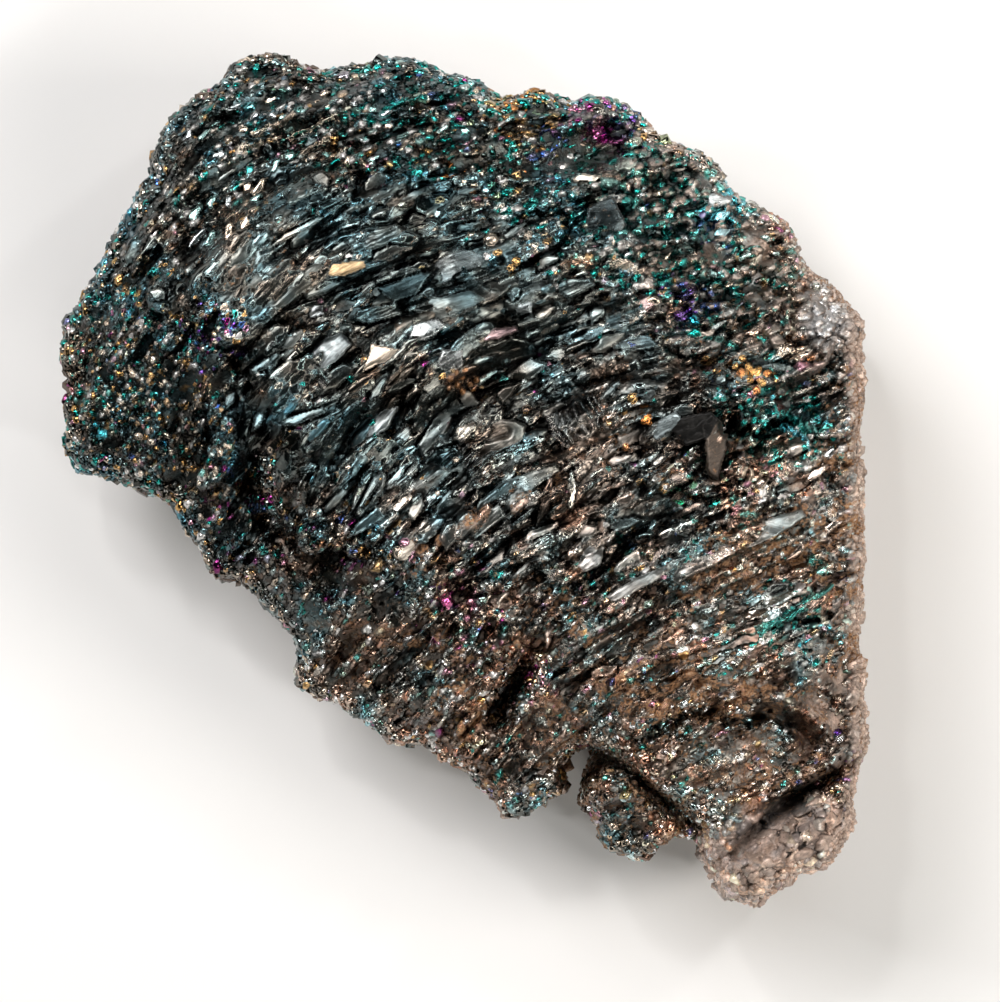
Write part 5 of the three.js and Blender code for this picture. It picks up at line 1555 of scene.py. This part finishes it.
def silicon_carbide(name, bump, grain):
    """Dark, glassy to metallic crystal faces with films of colour, and rust-brown dust on them."""
    mat = bpy.data.materials.new(name)
    mat.use_nodes = True
    nt = mat.node_tree
    nt.nodes.clear()
    out = nt.nodes.new("ShaderNodeOutputMaterial")
    bsdf = nt.nodes.new("ShaderNodeBsdfPrincipled")
    nt.links.new(bsdf.outputs[0], out.inputs[0])

    def node(kind, **values):
        made = nt.nodes.new(kind)
        for key, value in values.items():
            setattr(made, key, value)
        return made

    def link(a, b):
        nt.links.new(a, b)

    def maths(op, a, b=None, clamp=False):
        made = node("ShaderNodeMath", operation=op, use_clamp=clamp)
        for i, s in enumerate((a, b)):
            if s is None:
                continue
            if isinstance(s, (int, float)):
                made.inputs[i].default_value = s
            else:
                link(s, made.inputs[i])
        return made.outputs[0]

    coord = node("ShaderNodeTexCoord")
    at = coord.outputs["Object"]

    def texture(scale, detail, rough, distort=0.0):
        made = node("ShaderNodeTexNoise")
        made.inputs["Scale"].default_value = scale
        made.inputs["Detail"].default_value = detail
        made.inputs["Roughness"].default_value = rough
        made.inputs["Distortion"].default_value = distort
        link(at, made.inputs["Vector"])
        return made.outputs["Fac"]

    tint = node("ShaderNodeAttribute", attribute_name="tint")
    dust = node("ShaderNodeAttribute", attribute_name="dust")
    rough = node("ShaderNodeAttribute", attribute_name="rough")

    # cloudy lighter and darker places within each face
    cloud = texture(520.0, 3.0, 0.6, 0.4)
    shade = node("ShaderNodeMapRange")
    shade.inputs["From Min"].default_value, shade.inputs["From Max"].default_value = 0.3, 0.7
    shade.inputs["To Min"].default_value, shade.inputs["To Max"].default_value = 0.70, 1.24
    link(cloud, shade.inputs["Value"])
    shaded = node("ShaderNodeMix", data_type="RGBA", blend_type="MULTIPLY")
    shaded.inputs[0].default_value = 1.0
    link(tint.outputs["Color"], shaded.inputs[6])
    link(shade.outputs["Result"], shaded.inputs[7])

    # streaks that run along each crystal
    run = node("ShaderNodeAttribute", attribute_name="run")
    stria = node("ShaderNodeTexNoise")
    stria.inputs["Scale"].default_value = 3000.0
    stria.inputs["Detail"].default_value = 4.0
    stria.inputs["Roughness"].default_value = 0.62
    link(run.outputs["Vector"], stria.inputs["Vector"])
    streak = node("ShaderNodeMapRange")
    streak.inputs["From Min"].default_value, streak.inputs["From Max"].default_value = 0.34, 0.66
    streak.inputs["To Min"].default_value, streak.inputs["To Max"].default_value = 0.55, 1.40
    link(stria.outputs["Fac"], streak.inputs["Value"])
    streaked = node("ShaderNodeMix", data_type="RGBA", blend_type="MULTIPLY")
    streaked.inputs[0].default_value = 1.0
    link(shaded.outputs[2], streaked.inputs[6])
    link(streak.outputs["Result"], streaked.inputs[7])

    # dust settles in patches, thicker where the dust value is high
    patch = texture(2100.0, 5.0, 0.72)
    mask = maths("ADD", dust.outputs["Fac"], maths("MULTIPLY", maths("SUBTRACT", patch, 0.50), 2.4))
    cover = node("ShaderNodeMapRange", interpolation_type="SMOOTHSTEP")
    cover.inputs["From Min"].default_value, cover.inputs["From Max"].default_value = 0.34, 0.72
    link(mask, cover.inputs["Value"])
    hue = texture(3400.0, 3.0, 0.6)
    ramp = node("ShaderNodeValToRGB")
    e = ramp.color_ramp.elements
    e[0].position, e[0].color = 0.36, (0.045, 0.020, 0.010, 1)
    e[1].position, e[1].color = 0.66, (0.460, 0.305, 0.185, 1)
    mid = ramp.color_ramp.elements.new(0.50)
    mid.color = (0.330, 0.150, 0.050, 1)
    link(hue, ramp.inputs[0])
    colour = node("ShaderNodeMix", data_type="RGBA")
    link(cover.outputs["Result"], colour.inputs[0])
    link(streaked.outputs[2], colour.inputs[6])
    link(ramp.outputs[0], colour.inputs[7])
    link(colour.outputs[2], bsdf.inputs["Base Color"])

    dull = node("ShaderNodeAttribute", attribute_name="dull")
    bare = maths("SUBTRACT", 1.0, cover.outputs["Result"], True)
    link(maths("MULTIPLY", bare, maths("SUBTRACT", 1.0, dull.outputs["Fac"], True), True), bsdf.inputs["Metallic"])
    speck = texture(1500.0, 2.0, 0.5)
    r0 = maths("MULTIPLY", rough.outputs["Fac"], maths("ADD", maths("MULTIPLY", speck, 0.9), 0.55))
    link(maths("ADD", r0, maths("MULTIPLY", cover.outputs["Result"], 0.45), True), bsdf.inputs["Roughness"])
    bsdf.inputs["IOR"].default_value = 1.7

    # fine growth marks and pits in the faces
    fine = texture(grain, 3.0, 0.6, 0.3)
    wide = texture(grain * 0.28, 2.0, 0.5, 0.6)
    b1 = node("ShaderNodeBump")
    b1.inputs["Strength"].default_value = bump
    b1.inputs["Distance"].default_value = 0.00008
    lines = maths("MULTIPLY", stria.outputs["Fac"], 0.9)
    sand = maths("MULTIPLY", maths("MULTIPLY", hue, 2.2), cover.outputs["Result"])
    link(maths("ADD", maths("ADD", maths("MULTIPLY", fine, 0.4), maths("MULTIPLY", wide, 0.6)), maths("ADD", lines, sand)), b1.inputs["Height"])
    link(b1.outputs[0], bsdf.inputs["Normal"])
    return mat


body_mat = silicon_carbide("silicon_carbide_body", 0.9, 2600.0)
face_mat = silicon_carbide("silicon_carbide_faces", 0.60, 2600.0)
for ob in pieces:
    ob.data.materials.append(body_mat if ob is body else face_mat)
    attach(ob, "root")
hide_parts("crystal_mass")

# ---------------------------------------------------------------- floor, light, camera
me = bpy.data.meshes.new("floor")
s = 3.0
me.from_pydata([(-s, -s, 0), (s, -s, 0), (s, s, 0), (-s, s, 0)], [], [(0, 1, 2, 3)])
floor = bpy.data.objects.new("floor", me)
bpy.context.scene.collection.objects.link(floor)
mat = bpy.data.materials.new("pale_floor")
mat.use_nodes = True
mat.node_tree.nodes["Principled BSDF"].inputs["Base Color"].default_value = (0.84, 0.83, 0.81, 1)
mat.node_tree.nodes["Principled BSDF"].inputs["Roughness"].default_value = 0.9
me.materials.append(mat)


def softbox(name, azimuth, elevation, distance, size, power, colour=(1, 1, 1)):
    """Azimuth is anticlockwise from +X as seen from above."""
    light = bpy.data.lights.new(name, "AREA")
    light.shape = "RECTANGLE"
    light.size, light.size_y = size
    light.energy = power
    light.color = colour
    ob = bpy.data.objects.new(name, light)
    a, e = math.radians(azimuth), math.radians(elevation)
    back = np.array([math.cos(a) * math.cos(e), math.sin(a) * math.cos(e), math.sin(e)])
    ob.location = tuple(back * distance + (0, 0, 0.015))
    from mathutils import Vector

    ob.rotation_mode = "QUATERNION"
    ob.rotation_quaternion = Vector(back).to_track_quat("Z", "Y")
    ob.visible_camera = False
    bpy.context.scene.collection.objects.link(ob)


softbox("key", 135, 50, 0.62, (0.29, 0.29), 2.7, (1.0, 0.97, 0.98))
softbox("right", -5, 36, 0.62, (0.22, 0.26), 1.8, (1.0, 0.95, 0.9))
softbox("top", 70, 54, 0.62, (0.26, 0.18), 0.5, (0.97, 0.98, 1.0))
softbox("low", 285, 40, 0.66, (0.26, 0.20), 1.0, (1.0, 0.97, 0.94))
softbox("lamp_1", 112, 60, 0.70, (0.05, 0.05), 0.50)
softbox("lamp_2", 162, 38, 0.70, (0.05, 0.05), 0.50)
softbox("lamp_3", 330, 52, 0.70, (0.05, 0.05), 0.50)
softbox("lamp_4", 40, 44, 0.70, (0.05, 0.05), 0.45)

# the room: a dim grey overhead that darkens towards the horizon
world = bpy.data.worlds.new("studio")
bpy.context.scene.world = world
world.use_nodes = True
wt = world.node_tree
where = wt.nodes.new("ShaderNodeTexCoord")
parts = wt.nodes.new("ShaderNodeSeparateXYZ")
ramp = wt.nodes.new("ShaderNodeMapRange")
ramp.interpolation_type = "SMOOTHSTEP"
ramp.inputs["From Min"].default_value, ramp.inputs["From Max"].default_value = 0.10, 0.95
ramp.inputs["To Min"].default_value, ramp.inputs["To Max"].default_value = 0.015, 0.05
wt.links.new(where.outputs["Generated"], parts.inputs[0])
wt.links.new(parts.outputs["Z"], ramp.inputs["Value"])
wt.links.new(ramp.outputs["Result"], wt.nodes["Background"].inputs[1])
wt.nodes["Background"].inputs[0].default_value = (0.76, 1.0, 0.96, 1)

cam = bpy.data.cameras.new("camera")
cam.lens = LENS
cam.sensor_width = 36.0
cam.clip_start, cam.clip_end = 0.01, 10.0
eye = bpy.data.objects.new("camera", cam)
eye.location = (CX / 1000, CY / 1000, (GIRTH_Z + VIEW_H) / 1000)
bpy.context.scene.collection.objects.link(eye)
bpy.context.scene.camera = eye
bpy.context.scene.view_settings.view_transform = "Standard"
